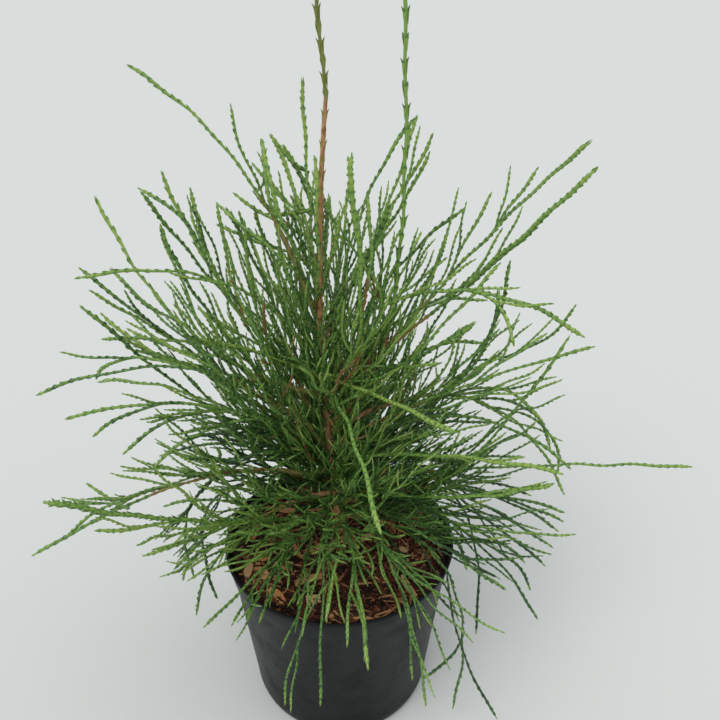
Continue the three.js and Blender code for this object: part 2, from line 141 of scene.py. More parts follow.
# The finer growth that the solids leave out. A cord's level is 0 on a main whip, 1 on a fork, 2
# on a side shoot, 3 on a fine shoot and 4 on a twig. A fan is the angle that a shoot makes with
# its parent, and a lift turns it upwards.
INNER_WHIPS = 6
OPEN_WHIPS = 1
INNER_FIRST = 0.04
INNER_LAST = 0.4
INNER_LENGTHS = (40, 105)
INNER_SHARE = 0.8
INNER_HIGHEST = 300
INNER_FAN = 26
INNER_BOW = -4
INNER_LIFT = 0.15
INNER_LIFT_RANGE = 1.7
INNER_LIFT_POWER = 1.5
INNER_ROLL = 90
CROWN_LEAN = 14
CROWN_TOP = 308
CROWN_FALL = 0.45
LEAST_KEPT = 0.3
FULL_RADIUS = 45
FULL_HEIGHT = 200
THINNING = 57
OPEN_SHARE = 0.03
FINE_SEED = 500
MAIN_FIRST = 0.02
MAIN_IN_WOOD = 0.6
MAIN_LAST = 0.92
MAIN_LEAST = 0.2
FINE_FIRST = 0.12
FINE_LAST = 0.62
FINE_SPACING = 16.5
FINE_LENGTHS = (16, 58)
FINE_SHARES = (0.3, 0.65)
FINE_FANS = (12, 28)
FINE_LIFT = 0.2
FINE_BOW = -0.05
FINE_ROLL = 60
TWIG_SPACING = 10
TWIG_LENGTHS = (5, 14)
TWIG_FAN = 18
SPARSER = 1.8
CURL = 0.42
STEM_SHOOTS = 58
STEM_SHOOT_HEIGHTS = (108, 215)
STEM_SHOOT_REACH = (8, 38)
STEM_SHOOT_RISE = (30, 85)
STEM_SHOOT_BOW = -5
STEM_BARE = 0.3
STEM_SEED = 77
SKIRT_SHOOTS = 120
SKIRT_HEIGHTS = (108, 165)
SKIRT_REACH = (40, 96)
SKIRT_RISE = (-0.02, 0.43)
SKIRT_BOW = 0.16
SKIRT_BARE = 0.2
SKIRT_SEED = 78
SHOOT_STRAY = 40
FRONT_GAPS = 0.5
FRONT_SHORTER = 0.75

# The cords' look. The pitch is from one pair of scales to the next, and the radius is measured
# over the scales' keels.
PITCH = {0: 4.4, 1: 4.0, 2: 3.4, 3: 2.9, 4: 2.4}
CORD_RADIUS = {0: 0.98, 1: 0.92, 2: 0.81, 3: 0.75, 4: 0.68}
LEADER_PITCH = 6.6
LEADER_RADIUS = 1.2
FRONT_PITCH = 0.85
SLIMMER = 0.12
PITCHES = (0.9, 1.1)
WIDTHS = (0.9, 1.08)
FIRST_PAIR = 0.8
PAST_TIP = 0.6
TWIST = 0.05
TIP_ZONE = 14
TIP_PITCH = 0.55
TIP_WIDTH = 0.25
TIP_LEAST = 0.5
TIP_TAPER = 6
PLUMP_ZONE = 36
PLUMP = 0.3
FRONT_PLUMP = 0.09
SWAY = 0.75
SWAY_FADE = 12
STIFFER = 0.6
WAVES = (4.5, 7.5)
RISES = (4, 6.5)
STEM_SHARE = 0.66
ROOT_SUNK = 1.0
STEM_SIDES = 5
STEM_TIP = 0.2
DRY_PITCH = 4.4
DRY_SCALE = 5.2
DRY_FROM = 0.4
DRY_SHORT = 2
DRY_OLIVE = 0.8
DRY_UMBER = 3
DRY_WIDTH = 1.12
DRESS_SEED = 3000

# Limbs that share a habit or a look
LEADERS = ("leader_top", "second_leader")
OPEN = ("right_high", "right_high_back", "right_arch", "right_up_thin", "right_far", "left_wide",
        "left_mid", "left_upright", "left_arch", "left_far_high", "top_back_right", "top_right",
        "top_front", "front_up", "front_right_up", "right_front")
OLIVE_WOOD = ("left_far_high", "left_low_arch", "left_wide", "left_upright", "right_up_thin",
              "right_far", "left_mid", "left_brown")
FRESH = ("top_front", "front_up", "front_right_up", "left_front_long", "right_arch",
         "top_back_left", "right_front", "late_tall", "late_tall_beside", "late_front_left",
         "late_front_right", "late_top_left")
FAT = {"left_front_long": 1.5, "top_front": 1.3, "front_up": 1.25, "front_right_up": 1.25,
       "top_back_left": 1.2, "right_front": 1.2, "late_tall": 1.2, "late_top_left": 1.2,
       "front_mid": 1.15, "right_high": 1.25, "right_high_back": 1.2, "right_arch": 1.25}
SLIM = ("front_left_long", "front_left_hang", "front_right_long", "right_hang",
        "right_droop", "left_hang", "right_bottom", "late_front_left", "late_front_right")
SPIKY = ("left_front_long", "front_mid")
PLAIN = ("left_brown", "left_low", "left_low_arch", "right_droop", "right_hang", "right_bend")
FRONT = ("front_left_long", "front_left_hang", "front_mid", "front_right_long")
# Limbs low down or under the crown, whose greens are painted darker as shade
SHADED_LIMBS = ("right_hang", "right_bottom", "right_droop", "back_low", "back_low_left",
        "back_low_right", "late_right_drop", "late_left_drop", "late_left_fall",
        "late_rim_short", "late_rim_front", "late_right_beside", "late_right_low")

# Brown roots of cords: how near the stem they may be, how many are, and how long
WOODY_REACH = 38
WOODY_CHANCE = 0.08
WOODY_LENGTHS = (8, 26)
UMBER_CHANCE = 0.6
PAST_WOOD = 14
MOSSY_LEADER = 60

# How light a cord's green is, in steps of the greens below. This is painted light and shade: a cord
# is painted lighter on the crown's outside and top, where light falls, and darker low down beside
# the stem, as painted shade. Tips go by their length.
LIGHT = 1.7
LIGHT_OUTSIDE = 1.2
LIGHT_ALONG = 0.9
LIGHT_RANGE = 2.4
LIGHT_FRESH = 1.2
# Painted shade for the shaded limbs and the skirt, in steps of the greens
LIGHT_SHADED = -2.3
LIGHT_SKIRT = -1.2
LIGHT_FRONT = -0.5
LIGHT_FLICKER = 0.7
LIGHT_TIPS = ((9.8, 1.1), (4, 1))
NEW_TIP = 3.6
NEWEST_TIP = 2
LIGHT_AT = 0.6
LIGHT_REACH = 95
LIGHT_HEIGHT = 220
LIGHT_RISE = 160
DARK_HEIGHT = 150
DARK_FALL = 90
DARK_REACH = 150


@dataclass(eq=False)
class Limb:
    """A limb: its height on the trunk, its main whip's azimuth, reach and tip height, how far
    the whip bows and where, its woody length, its bare outer share, and its fan of forks."""
    name: str
    leaves: float = 0
    azimuth: float = 0
    reach: float = 0
    tip: float = 0
    bow: float = 0
    turn: float = 0.5
    wood: float = 0
    bare: float = SIDE_BARE
    forks: int = 0
    swing: float = 0
    spread: float = 0
    rise: float = 0
    split: float = 0
    cords: list = field(default_factory=list)


@dataclass(eq=False)
class Cord:
    """A curve told by its start, its control point and its end, with its length and a level
    direction across it. Its first stretch, up to the share named start, is woody."""
    ends: np.ndarray
    length: float
    across: np.ndarray
    level: int = 0
    start: float = 0


LIMBS = [
    Limb("leader_top", TRUNK_TOP, 169, 10, 431, bare=1),
    Limb("second_leader", 176, -4, 26, 428, -46, turn=0.15, wood=84, bare=0.55),
    Limb("left_far_high", 240, 169, 93, 354, 30, turn=0.6, wood=44, bare=0.6),
    Limb("top_left", 250, 128, 23, 349, -8, bare=0.7, forks=2, swing=28, spread=4, rise=-28),
    Limb("top_back_left", 238, 125, 58, 318, -12, forks=3, swing=9, spread=4, rise=-14),
    Limb("left_upright", 178, 189, 76, 315, -12, wood=30, forks=3, swing=-4, spread=-11, rise=-9),
    Limb("left_wide", 185, 192, 104, 307, -30, wood=36, forks=2, swing=-8, spread=2, rise=-39),
    Limb("left_arch", 208, 201, 117, 278, 48, forks=1, swing=-11, spread=-31, rise=31),
    Limb("left_mid", 176, 181, 123, 266, -8, wood=40, forks=3, swing=3, spread=-5, rise=-9),
    Limb("left_low_arch", 162, 193, 147, 214, 78, wood=36, forks=1, swing=-7, spread=-25,
         rise=-4),
    Limb("left_low", 150, 194, 136, 200, 50, forks=3, swing=2, spread=-12, rise=-10),
    Limb("left_hang", 128, 208, 91, 75, 50, wood=30, forks=3, swing=-5, spread=2, rise=20),
    Limb("left_front_long", 113, 210, 150, 184, -8, forks=2, swing=2, spread=-18, rise=-22),
    Limb("left_brown", 132, 194, 168, 117, 48, turn=0.3, wood=48, forks=2, swing=-1, spread=-16,
         rise=6),
    Limb("front_left_long", 125, 240, 117, 133, 2, forks=2, swing=6, spread=-5, rise=2),
    Limb("front_left_hang", 136, 266, 107, 86, 48, forks=1, swing=-10, spread=-2, rise=-7),
    Limb("front_mid", 124, 278, 113, 118, 36, forks=2, swing=-5, spread=-3, rise=13),
    Limb("front_right_long", 142, 296, 103, 65, 56, forks=1, swing=-5, rise=25),
    Limb("front_up", 196, 279, 124, 209, 26, bare=0.6),
    Limb("front_right_up", 205, 295, 112, 240, 4, bare=0.5),
    Limb("right_front", 152, 329, 122, 190, 12),
    Limb("right_far", 134, 359, 196, 148, 12, wood=50, bare=0.6),
    Limb("right_arch", 224, 349, 120, 240, 56, forks=1, swing=-15, spread=-30, rise=4),
    Limb("right_high", 194, 359, 118, 314, -12, wood=52, forks=2, swing=3, spread=-14, rise=-18),
    Limb("right_high_back", 182, 13, 125, 318, 3, turn=0.7, wood=48, bare=0.6, forks=2,
         swing=3, spread=-22, rise=-12),
    Limb("top_right", 238, 318, 33, 305, -8, bare=0.6, forks=1, swing=15, spread=-3, rise=-4),
    Limb("top_back_right", 230, 50, 62, 327, -14, forks=2, swing=-20, spread=-9, rise=-4),
    Limb("top_front", 176, 281, 33, 327, -22, turn=0.3, forks=2, swing=20, spread=-5,
         rise=-18),
    Limb("right_up_thin", 154, 22, 99, 254, -60, turn=0.6, forks=1, swing=-14, spread=27,
         rise=-17),
    Limb("right_mid", 162, 355, 128, 228, 10, forks=2, swing=12, spread=-17, rise=-6),
    Limb("right_diagonal", 132, 345, 113, 244, -50, turn=0.15),
    Limb("right_bend", 176, 5, 134, 116, 86, turn=0.4, wood=40, forks=4, swing=-2,
         spread=-8, rise=20),
    Limb("right_droop", 128, -5, 127, 122, 24, wood=34, forks=3, swing=-4, spread=-3, rise=-6),
    Limb("right_hang", 146, -21, 119, 72, 42, forks=3, swing=3, spread=-6, rise=14),
    Limb("right_bottom", 112, -39, 85, 8, 112, turn=0.18, wood=30, bare=0.7),
    Limb("back_high", 214, 85, 84, 300, -14, forks=2, swing=15, spread=-14, rise=-6),
    Limb("back_right", 190, 65, 118, 245, -8, forks=2, swing=-12, spread=-12, rise=-8),
    Limb("back_left", 172, 120, 124, 230, -8, forks=2, swing=12, spread=-10, rise=-8),
    Limb("back_mid", 150, 84, 130, 190, 20, forks=3, swing=12, spread=-8, rise=6),
    Limb("back_low_right", 128, 60, 128, 105, 40, forks=2, swing=-14, spread=-6, rise=14),
    Limb("back_low_left", 126, 140, 126, 108, 38, forks=2, swing=14, spread=-8, rise=14),
    Limb("back_low", 120, 92, 118, 84, 44, forks=2, swing=14, spread=-4, rise=8),
]

# Whips and forks that the solids leave out. A fork is told by its limb, where it leaves the main
# whip, its end's azimuth, reach and height, its bow and its bend.
LATE_LIMBS = [
    Limb("late_cross", 200, 12, 37, 334, 22, turn=0.65, bare=0.7),
    Limb("late_tall", 250, 166, 34, 325, -2, turn=0.35, bare=0.7),
    Limb("late_tall_beside", 246, 152, 27, 321, -3, bare=0.7),
    Limb("late_level", 140, 172, 134, 190, 30, turn=0.65, bare=0.6),
    Limb("late_left", 180, 188, 86, 306, -10, bare=0.6),
    Limb("late_right", 180, 30, 75, 283, 6, bare=0.6),
    Limb("late_front_left", 210, 213, 76, 249, 8, turn=0.3, bare=0.7),
    Limb("late_front_right", 200, 347, 53, 219, bare=0.7),
    Limb("late_left_long", 150, 196, 118, 261, -24, turn=0.3, bare=0.5),
    Limb("late_left_flat", 200, 186, 115, 233, 8, turn=0.65, bare=0.5),
    Limb("late_left_cross", 240, 172, 57, 295, 16, turn=0.3, bare=0.6),
    Limb("late_left_inner", 210, 170, 46, 291, -16, bare=0.4),
    Limb("late_left_beside", 200, 156, 44, 290, -16, turn=0.65, bare=0.4),
    Limb("late_right_low", 145, 3, 134, 99, 8, bare=0.4),
    Limb("late_right_arc", 140, 355, 127, 153, 56, bare=0.6),
    Limb("late_right_rise", 170, 359, 79, 268, 8, bare=0.5),
    Limb("late_right_tip", 180, 13, 80, 215, 16, turn=0.65, bare=0.5),
    Limb("late_right_short", 200, 333, 71, 252, -8, turn=0.65, bare=0.5),
    Limb("late_right_long", 150, 6, 82, 250, -40, turn=0.65, bare=0.5),
    Limb("late_right_level", 140, 324, 121, 191, -8, turn=0.65, bare=0.4),
    Limb("late_right_beside", 150, 13, 121, 103, bare=0.3),
    Limb("late_right_drop", 150, 352, 85, 22, 80, turn=0.3, bare=0.5),
    Limb("late_rim_front", 142, 319, 109, 125, 30, turn=0.65, bare=0.2),
    Limb("late_rim_short", 142, 329, 81, 109, 40, turn=0.65, bare=0.2),
    Limb("late_top_left", 240, 142, 45, 320, 16, turn=0.3, bare=0.7),
    Limb("late_top_middle", 250, 192, 9, 320, -16, turn=0.3, bare=0.6),
    Limb("late_left_rise", 180, 171, 52, 292, -8, turn=0.65, bare=0.3),
    Limb("late_left_near", 180, 196, 79, 294, -16, turn=0.65, bare=0.5),
    Limb("late_left_low", 160, 175, 97, 210, 8, turn=0.65, bare=0.2),
    Limb("late_left_drop", 138, 181, 78, 42, 86, bare=0.3),
    Limb("late_left_curl", 128, 205, 98, 108, 24, turn=0.3, bare=0.3),
    Limb("late_left_fall", 148, 188, 88, 71, 78, bare=0.3),
    Limb("late_right_inner", 180, 30, 96, 226, 32, turn=0.65, bare=0.6),
    Limb("late_right_near", 160, 32, 91, 212, bare=0.6),
    Limb("late_left_outer", 140, 188, 88, 222, 8, bare=0.6)]
LATE_FORKS = [
    ("second_leader", 0.46, 149, 35, 324, 0, -6),
    ("right_bottom", 0.5, -48, 123, 54, 0, -12),
    ("right_bottom", 0.75, -62, 93, 73, 0, 6),
    ("left_brown", 0.74, 181, 143, 136, -24, -12)]


# Small tools
def seeded(seed):
    """Repeatable random numbers from 0 to 1, the same as the solids'."""
    state = seed & 0xFFFFFFFF

    def draw():
        nonlocal state
        state = (state * 1664525 + 1013904223) & 0xFFFFFFFF
        return state / 4294967296
    return draw


def between(low, high, share):
    return low + (high - low) * share


def unit(vector):
    return vector / np.linalg.norm(vector)


# Growing the limbs
def bezier(ends, share):
    share = np.atleast_1d(share)[:, None]
    return (1 - share) ** 2 * ends[0] + 2 * share * (1 - share) * ends[1] + share ** 2 * ends[2]


def tangents(ends, share):
    share = np.atleast_1d(share)[:, None]
    slope = (1 - share) * (ends[1] - ends[0]) + share * (ends[2] - ends[1])
    return slope / np.linalg.norm(slope, axis=1, keepdims=True)


def whip(start, end, bow, turn, bend, level=0):
    """A curve from start to end. Its bow lies in its own upright plane, its bend is level."""
    chord = end - start
    across = np.array([-chord[1], chord[0], 0.0])
    if np.linalg.norm(across) < 1:
        across = np.array([0.0, 1.0, 0.0])
    across = unit(across)
    over = unit(np.cross(chord, across))
    if over[2] < 0:
        over = -over
    control = start + chord * turn + over * bow + across * bend
    ends = np.array([start, control, end])
    steps = np.diff(bezier(ends, np.linspace(0, 1, 201)), axis=0)
    return Cord(ends, np.linalg.norm(steps, axis=1).sum(), across, level)


def trunk_centre(height):
    share = (height - SOIL_TOP) / (TRUNK_TOP - SOIL_TOP)
    sway = TRUNK_SWAY * math.sin(math.pi * SWAY_TURN * share)
    return np.array([FOOT_X - sway, FOOT_Y, height])


def trunk_radius(height):
    share = max(0, (height - SOIL_TOP) / (TRUNK_TOP - SOIL_TOP))
    flare = TRUNK_FLARE * max(0, 1 - (height - SOIL_TOP) / FLARE_HEIGHT) ** 2
    return between(TRUNK_RADIUS, TRUNK_TIP_RADIUS, share ** TRUNK_TAPER) + flare


def around(azimuth, reach, height):
    angle = math.radians(azimuth)
    return np.array([FOOT_X + reach * math.cos(angle), FOOT_Y + reach * math.sin(angle), height])


def outward(azimuth):
    return around(azimuth, 1, 0) - around(azimuth, 0, 0)


def blocked(points):
    """Which points lie in the pot, in the compost or below the table."""
    out = np.hypot(points[:, 0], points[:, 1])
    floor = np.where(out > RIM_RADIUS - INSIDE_RIM, POT_HEIGHT, SOIL_TOP)
    floor = np.where(out > RIM_RADIUS + OUTSIDE_RIM, 0, floor)
    return points[:, 2] < floor + HEADROOM


def samples(made):
    return bezier(made.ends, np.linspace(0, 1, max(2, math.ceil(made.length / STEP)) + 1))


class Claims:
    """The space that the limbs fill: points along them, each with a radius and an owner."""
    TRUNK = -1

    def __init__(self):
        self.points = np.zeros((0, 3))
        self.radii = np.zeros(0)
        self.owners = np.zeros(0, dtype=int)
        for height in range(SOIL_TOP, TRUNK_TOP, STEP):
            self.add(trunk_centre(height)[None], trunk_radius(height), Claims.TRUNK)

    def add(self, points, radius, owner):
        self.points = np.vstack([self.points, points])
        self.radii = np.append(self.radii, np.full(len(points), radius))
        self.owners = np.append(self.owners, np.full(len(points), owner))

    def count(self, points, radius, owner):
        """How often a new limb comes too near another limb, the pot, the compost or the table."""
        found = int(blocked(points).sum())
        low, high = points.min(axis=0) - NEAR, points.max(axis=0) + NEAR
        near = ((self.points > low) & (self.points < high)).all(axis=1) & (self.owners != owner)
        if not near.any():
            return found
        apart = np.linalg.norm(points[:, None] - self.points[near][None], axis=2)
        close = apart < radius + self.radii[near][None] + 2 * GAP
        at_root = np.linalg.norm(points - points[0], axis=1) < ROOT_ZONE
        excused = at_root[:, None] & (self.owners[near] == Claims.TRUNK)[None]
        return found + int((close & ~excused).sum())


def root_of(row, height, steepness):
    root = trunk_centre(height)
    if row.leaves == TRUNK_TOP:
        return root + UP * GAP
    reach = trunk_radius(height) + GAP + ROOT_RADIUS * steepness
    return root + outward(row.azimuth) * reach


def place_main(row, owner, claims):
    """A main whip that would touch another bends aside, or starts a little higher or lower."""
    best, fewest = None, math.inf
    end = around(row.azimuth, row.reach, row.tip)
    for shift in [0] if row.leaves == TRUNK_TOP else SHIFTS:
        for bend in BENDS:
            if fewest == 0:
                break
            height = row.leaves + shift
            trial = whip(root_of(row, height, 1), end, row.bow, row.turn, bend)
            steepness = abs(tangents(trial.ends, 0)[0][2])
            made = whip(root_of(row, height, steepness), end, row.bow, row.turn, bend)
            count = claims.count(samples(made), MAIN_RADIUS, owner)
            if count < fewest:
                best, fewest = made, count
    claims.add(samples(best), MAIN_RADIUS, owner)
    row.split = best.start = row.wood / best.length
    row.cords.append(best)


def place_cord(row, owner, claims, ends, bow, radius, bends, level):
    for bend in bends:
        made = whip(*ends, bow, 0.5, bend, level)
        if claims.count(samples(made), radius, owner) == 0:
            claims.add(samples(made), radius, owner)
            row.cords.append(made)
            return True
    return False


def place_forks(row, owner, claims):
    for k in range(1, row.forks + 1):
        share = FORK_FIRST + (FORK_LAST - FORK_FIRST) * (k - 1) / row.forks
        start = bezier(row.cords[0].ends, max(share, row.split + FORK_PAST_WOOD))[0]
        end = around(row.azimuth + k * row.swing, row.reach + k * row.spread,
                     row.tip + k * row.rise)
        bow = row.bow * FORK_BOW
        place_cord(row, owner, claims, (start, end), bow, FORK_RADIUS, BENDS, 1)


def shoot_ends(parent, share, roll, fan, length, lift):
    """The ends of a shoot that leaves its parent at share, on the side that roll gives."""
    start = bezier(parent.ends, share)[0]
    along = tangents(parent.ends, share)[0]
    over = unit(np.cross(along, parent.across))
    fan, roll = math.radians(fan), math.radians(roll)
    side = parent.across * math.cos(roll) + over * math.sin(roll)
    direction = along * math.cos(fan) + side * math.sin(fan)
    if start[2] > LIFT_HEIGHT:
        direction = direction + UP * lift
    return start, start + unit(direction) * length


def grow_sides(row, owner, claims):
    draw = seeded(SIDE_SEED + owner)
    for parent in list(row.cords):
        usable = (1 - row.bare) - parent.start
        count = math.floor(parent.length * usable / SIDE_SPACING + 0.5)
        for k in range(count):
            share = parent.start + usable * (k + SIDE_FIRST + SIDE_STRAY * draw()) / count
            fan = SIDE_FAN + SIDE_FAN_RANGE * draw()
            roll = k * GOLDEN_ANGLE + SIDE_ROLL * draw()
            length = (1 - share) * parent.length * (SIDE_SHARE + SIDE_SHARE_RANGE * draw())
            length = min(SIDE_LONGEST, max(SIDE_SHORTEST, length))
            for attempt in range(SIDE_TRIES):
                ends = shoot_ends(parent, share, roll + attempt * TRY_TURN, fan, length, LIFT)
                if place_cord(row, owner, claims, ends, SIDE_BOW * length, SIDE_RADIUS, [0], 2):
                    break


def add_shoot(row, ends, bow, bend, level):
    """A cord too fine for the solids. It only has to stay out of the pot and the compost."""
    made = whip(*ends, bow, 0.5, bend, level)
    if not blocked(samples(made)[1:]).any():
        row.cords.append(made)


def crown_top(point):
    """The height that the inner whips keep below, falling away from the trunk."""
    return CROWN_TOP - CROWN_FALL * math.hypot(point[0] + CROWN_LEAN, point[1] - FOOT_Y)


def fullness(point):
    """The share of fine shoots that grow at a point: all round the stem, few in the outer crown."""
    out = math.hypot(point[0] + CROWN_LEAN, point[1] - FOOT_Y)
    past = max(0, out - FULL_RADIUS) + max(0, point[2] - FULL_HEIGHT)
    return max(OPEN_SHARE, 1 - past / THINNING)


def shortened(start, end):
    """The end brought back along its line to where the crown's inner part stops."""
    spare = crown_top(end) - start[2]
    if end[2] - start[2] > spare:
        end = start + (end - start) * max(LEAST_KEPT, spare / (end[2] - start[2]))
    return end


def grow_inner_whips(row, draw):
    """Steep whips that leave the inner part of a limb and fill the middle of the crown."""
    main = row.cords[0]
    if row.leaves > INNER_HIGHEST or row in LATE_LIMBS:
        return
    count = OPEN_WHIPS if row.name in OPEN else INNER_WHIPS
    for k in range(count):
        share = between(INNER_FIRST, INNER_LAST, (k + draw()) / count)
        length = between(*INNER_LENGTHS, draw())
        length = min(length, INNER_SHARE * (1 - share) * main.length)
        roll = k * GOLDEN_ANGLE + INNER_ROLL * draw()
        lift = INNER_LIFT + INNER_LIFT_RANGE * draw() ** INNER_LIFT_POWER
        start, end = shoot_ends(main, share, roll, INNER_FAN, length, lift)
        bend = CURL * length * (draw() - 0.5)
        add_shoot(row, (start, shortened(start, end)), INNER_BOW, bend, 2)


def bearing_part(row, parent):
    """The first and last share of a cord that bear fine shoots and twigs."""
    first = max(MAIN_FIRST, MAIN_IN_WOOD * parent.start) if parent.level == 0 else FINE_FIRST
    last = max(MAIN_LEAST, MAIN_LAST - row.bare) if parent.level < 2 else FINE_LAST
    return first, last


def grow_fine(row, draw):
    """Shoots between the larger ones, and twigs on the outer cords, at narrow angles."""
    sparser = SPARSER if row.name in OPEN + PLAIN or row in LATE_LIMBS else 1
    for level, spacing in ((3, FINE_SPACING), (4, TWIG_SPACING)):
        for parent in list(row.cords):
            if row.bare == 1 or (level == 4 and parent.level < 2):
                continue
            first, last = bearing_part(row, parent)
            count = int(parent.length * max(0, last - first) / (spacing * sparser) + 0.5)
            for k in range(count):
                share = between(first, last, (k + draw()) / count)
                fan = between(*FINE_FANS, draw())
                roll = k * GOLDEN_ANGLE + FINE_ROLL * draw()
                length = (1 - share) * parent.length * between(*FINE_SHARES, draw())
                length = float(np.clip(length, *FINE_LENGTHS))
                if level == 4:
                    fan += TWIG_FAN
                    length = between(*TWIG_LENGTHS, draw())
                ends = shoot_ends(parent, share, roll, fan, length, FINE_LIFT)
                bend = CURL * length * (draw() - 0.5)
                if draw() < fullness(ends[0]):
                    add_shoot(row, ends, FINE_BOW * length, bend, level)


def grow_stem_shoots():
    """Steep shoots that the trunk itself bears."""
    row = Limb("stem_shoots", bare=STEM_BARE)
    draw = seeded(STEM_SEED)
    for k in range(STEM_SHOOTS):
        start = trunk_centre(between(*STEM_SHOOT_HEIGHTS, (k + draw()) / STEM_SHOOTS))
        reach = between(*STEM_SHOOT_REACH, draw())
        rise = between(*STEM_SHOOT_RISE, draw())
        end = start + outward(k * GOLDEN_ANGLE + SHOOT_STRAY * draw()) * reach + UP * rise
        bend = CURL * (reach + rise) * (draw() - 0.5)
        add_shoot(row, (start, shortened(start, end)), STEM_SHOOT_BOW, bend, 2)
    grow_fine(row, draw)
    return row


def grow_skirt():
    """Low flat shoots that hide the trunk's foot, fewer and shorter towards the front."""
    row = Limb("skirt", bare=SKIRT_BARE)
    draw = seeded(SKIRT_SEED)
    for k in range(SKIRT_SHOOTS):
        start = trunk_centre(between(*SKIRT_HEIGHTS, draw()))
        azimuth = k * GOLDEN_ANGLE + SHOOT_STRAY * draw()
        front = max(0, -math.sin(math.radians(azimuth)))
        if draw() < FRONT_GAPS * front:
            continue
        reach = between(*SKIRT_REACH, draw()) * (1 - FRONT_SHORTER * front)
        rise = reach * between(*SKIRT_RISE, draw())
        end = start + outward(azimuth) * reach + UP * rise
        bend = 2 * CURL * reach * (draw() - 0.5)
        add_shoot(row, (start, end), SKIRT_BOW * reach, bend, 2)
    grow_fine(row, draw)
    return row


def grow_limbs():
    claims = Claims()
    for owner, row in enumerate(LIMBS):
        place_main(row, owner, claims)
    for owner, row in enumerate(LIMBS):
        place_forks(row, owner, claims)
    for owner, row in enumerate(LIMBS):
        grow_sides(row, owner, claims)
    for owner, row in enumerate(LATE_LIMBS, len(LIMBS)):
        place_main(row, owner, claims)
        grow_sides(row, owner, claims)
    for name, share, azimuth, reach, tip, bow, bend in LATE_FORKS:
        row = next(row for row in LIMBS if row.name == name)
        start = bezier(row.cords[0].ends, share)[0]
        add_shoot(row, (start, around(azimuth, reach, tip)), bow, bend, 1)
    for owner, row in enumerate(LIMBS + LATE_LIMBS):
        draw = seeded(FINE_SEED + owner)
        grow_inner_whips(row, draw)
        grow_fine(row, draw)


# The cords' surface: a slim stem that pairs of pointed scales clasp crosswise. A scale's points
# are given sideways, outwards and along the cord, in radii, radii and pitches.
SCALE = np.array([
    [0.0, 0.5, -0.05], [-1.0, 0.3, 0.62], [1.0, 0.3, 0.62],
    [0.0, 0.92, 0.56], [0.0, 0.97, 0.95], [0.0, 0.1, 0.5]])
SPIKY_SCALE = np.array([
    [0.0, 0.5, -0.05], [-0.9, 0.3, 0.5], [0.9, 0.3, 0.5],
    [0.0, 0.95, 0.6], [0.0, 1.25, 1.4], [0.0, 0.1, 0.5]])
TIP_SCALE = np.array([
    [0.0, 0.6, -0.1], [-0.8, 0.36, 0.45], [0.8, 0.36, 0.45],
    [0.0, 0.9, 0.4], [0.0, 0.3, 1.15], [0.0, 0.1, 0.5]])
LEADER_SCALE = np.array([
    [0.0, 0.8, -0.75], [-1.05, 0.5, 0.05], [1.05, 0.5, 0.05],
    [0.0, 1.3, 0.05], [0.0, 1.95, 0.42], [0.0, 0.1, 0.0]])
SCALE_FACES = np.array([[0, 3, 2], [0, 1, 3], [2, 3, 4], [3, 1, 4],
                        [0, 5, 1], [0, 2, 5], [1, 5, 4], [5, 2, 4]])
# How many greens darker each face of a scale is, as painted shade: dark at each node on the faces
# towards the scale's tip, and on the faces under the scale
SCALE_PAINTED_SHADE = np.array([0, 0, -2, -2, -1, -1, -2, -2])

GREENS = {
    "deep": (40, 68, 29), "dark": (59, 94, 40), "mid": (81, 118, 52), "fresh": (102, 138, 62),
    "light": (119, 152, 68), "bright": (139, 165, 78), "tip": (162, 181, 88),
    "pale": (186, 198, 134)}
BROWNS = {"moss": (112, 120, 54), "olive": (140, 124, 62), "rust": (166, 116, 74),
          "umber": (128, 94, 56)}
PALE = list(GREENS).index("pale")
TIP = list(GREENS).index("tip")
MOSS, OLIVE, RUST, UMBER = range(len(GREENS), len(GREENS) + len(BROWNS))
BROWN_PARTS = {
    "left_brown": (58, 112, (OLIVE, OLIVE, UMBER)), "right_bend": (38, 68, (OLIVE, UMBER, RUST)),
    "right_mid": (20, 56, (OLIVE, UMBER, RUST)), "second_leader": (84, 104, (OLIVE, RUST, RUST))}


class Spray:
    """The stems and the scales of one limb, gathered as points, faces and tints."""

    def __init__(self, name):
        self.name = name
        self.parts = {"twigs": [], "scales": []}

    def add(self, kind, points, faces, tints):
        before = sum(len(part[0]) for part in self.parts[kind])
        self.parts[kind].append((points, faces + before, tints))

    def joined(self, kind, name, paints):
        points, faces, slots = (np.concatenate(arrays) for arrays in zip(*self.parts[kind]))
        return joined_mesh(name, points, faces, slots, paints, kind == "twigs")

    def pieces(self, paints):
        return [self.joined(kind, kind + "_" + self.name, paints) for kind in self.parts]


def joined_mesh(name, points, faces, slots, materials, smooth=False):
    """A mesh from arrays of points, in millimetres, and of three-sided faces."""
    mesh = bpy.data.meshes.new(name)
    mesh.vertices.add(len(points))
    mesh.vertices.foreach_set("co", (points * MM).astype(np.float32).ravel())
    mesh.loops.add(faces.size)
    mesh.loops.foreach_set("vertex_index", faces.ravel().astype(np.int32))
    mesh.polygons.add(len(faces))
    mesh.polygons.foreach_set("loop_start", np.arange(0, faces.size, 3, dtype=np.int32))
    mesh.polygons.foreach_set("material_index", slots.astype(np.int32))
    mesh.update(calc_edges=True)
    mesh.polygons.foreach_set("use_smooth", np.full(len(faces), smooth))
    return scene_piece(name, mesh, materials)


def scene_piece(name, mesh, materials):
    piece = bpy.data.objects.new(name, mesh)
    bpy.context.scene.collection.objects.link(piece)
    for material in materials:
        mesh.materials.append(material)
    return piece


def mesh_from(form, name):
    mesh = bpy.data.meshes.new(name)
    form.to_mesh(mesh)
    form.free()
    return mesh


def scale_spots(first, last, pitch):
    """Where along a cord its pairs of scales sit, in millimetres: closer together near the tip."""
    spots = []
    at = first
    while at < last - 1:
        spots.append(at)
        at += pitch * between(TIP_PITCH, 1, min(1, (last - at) / TIP_ZONE))
    return np.array(spots)


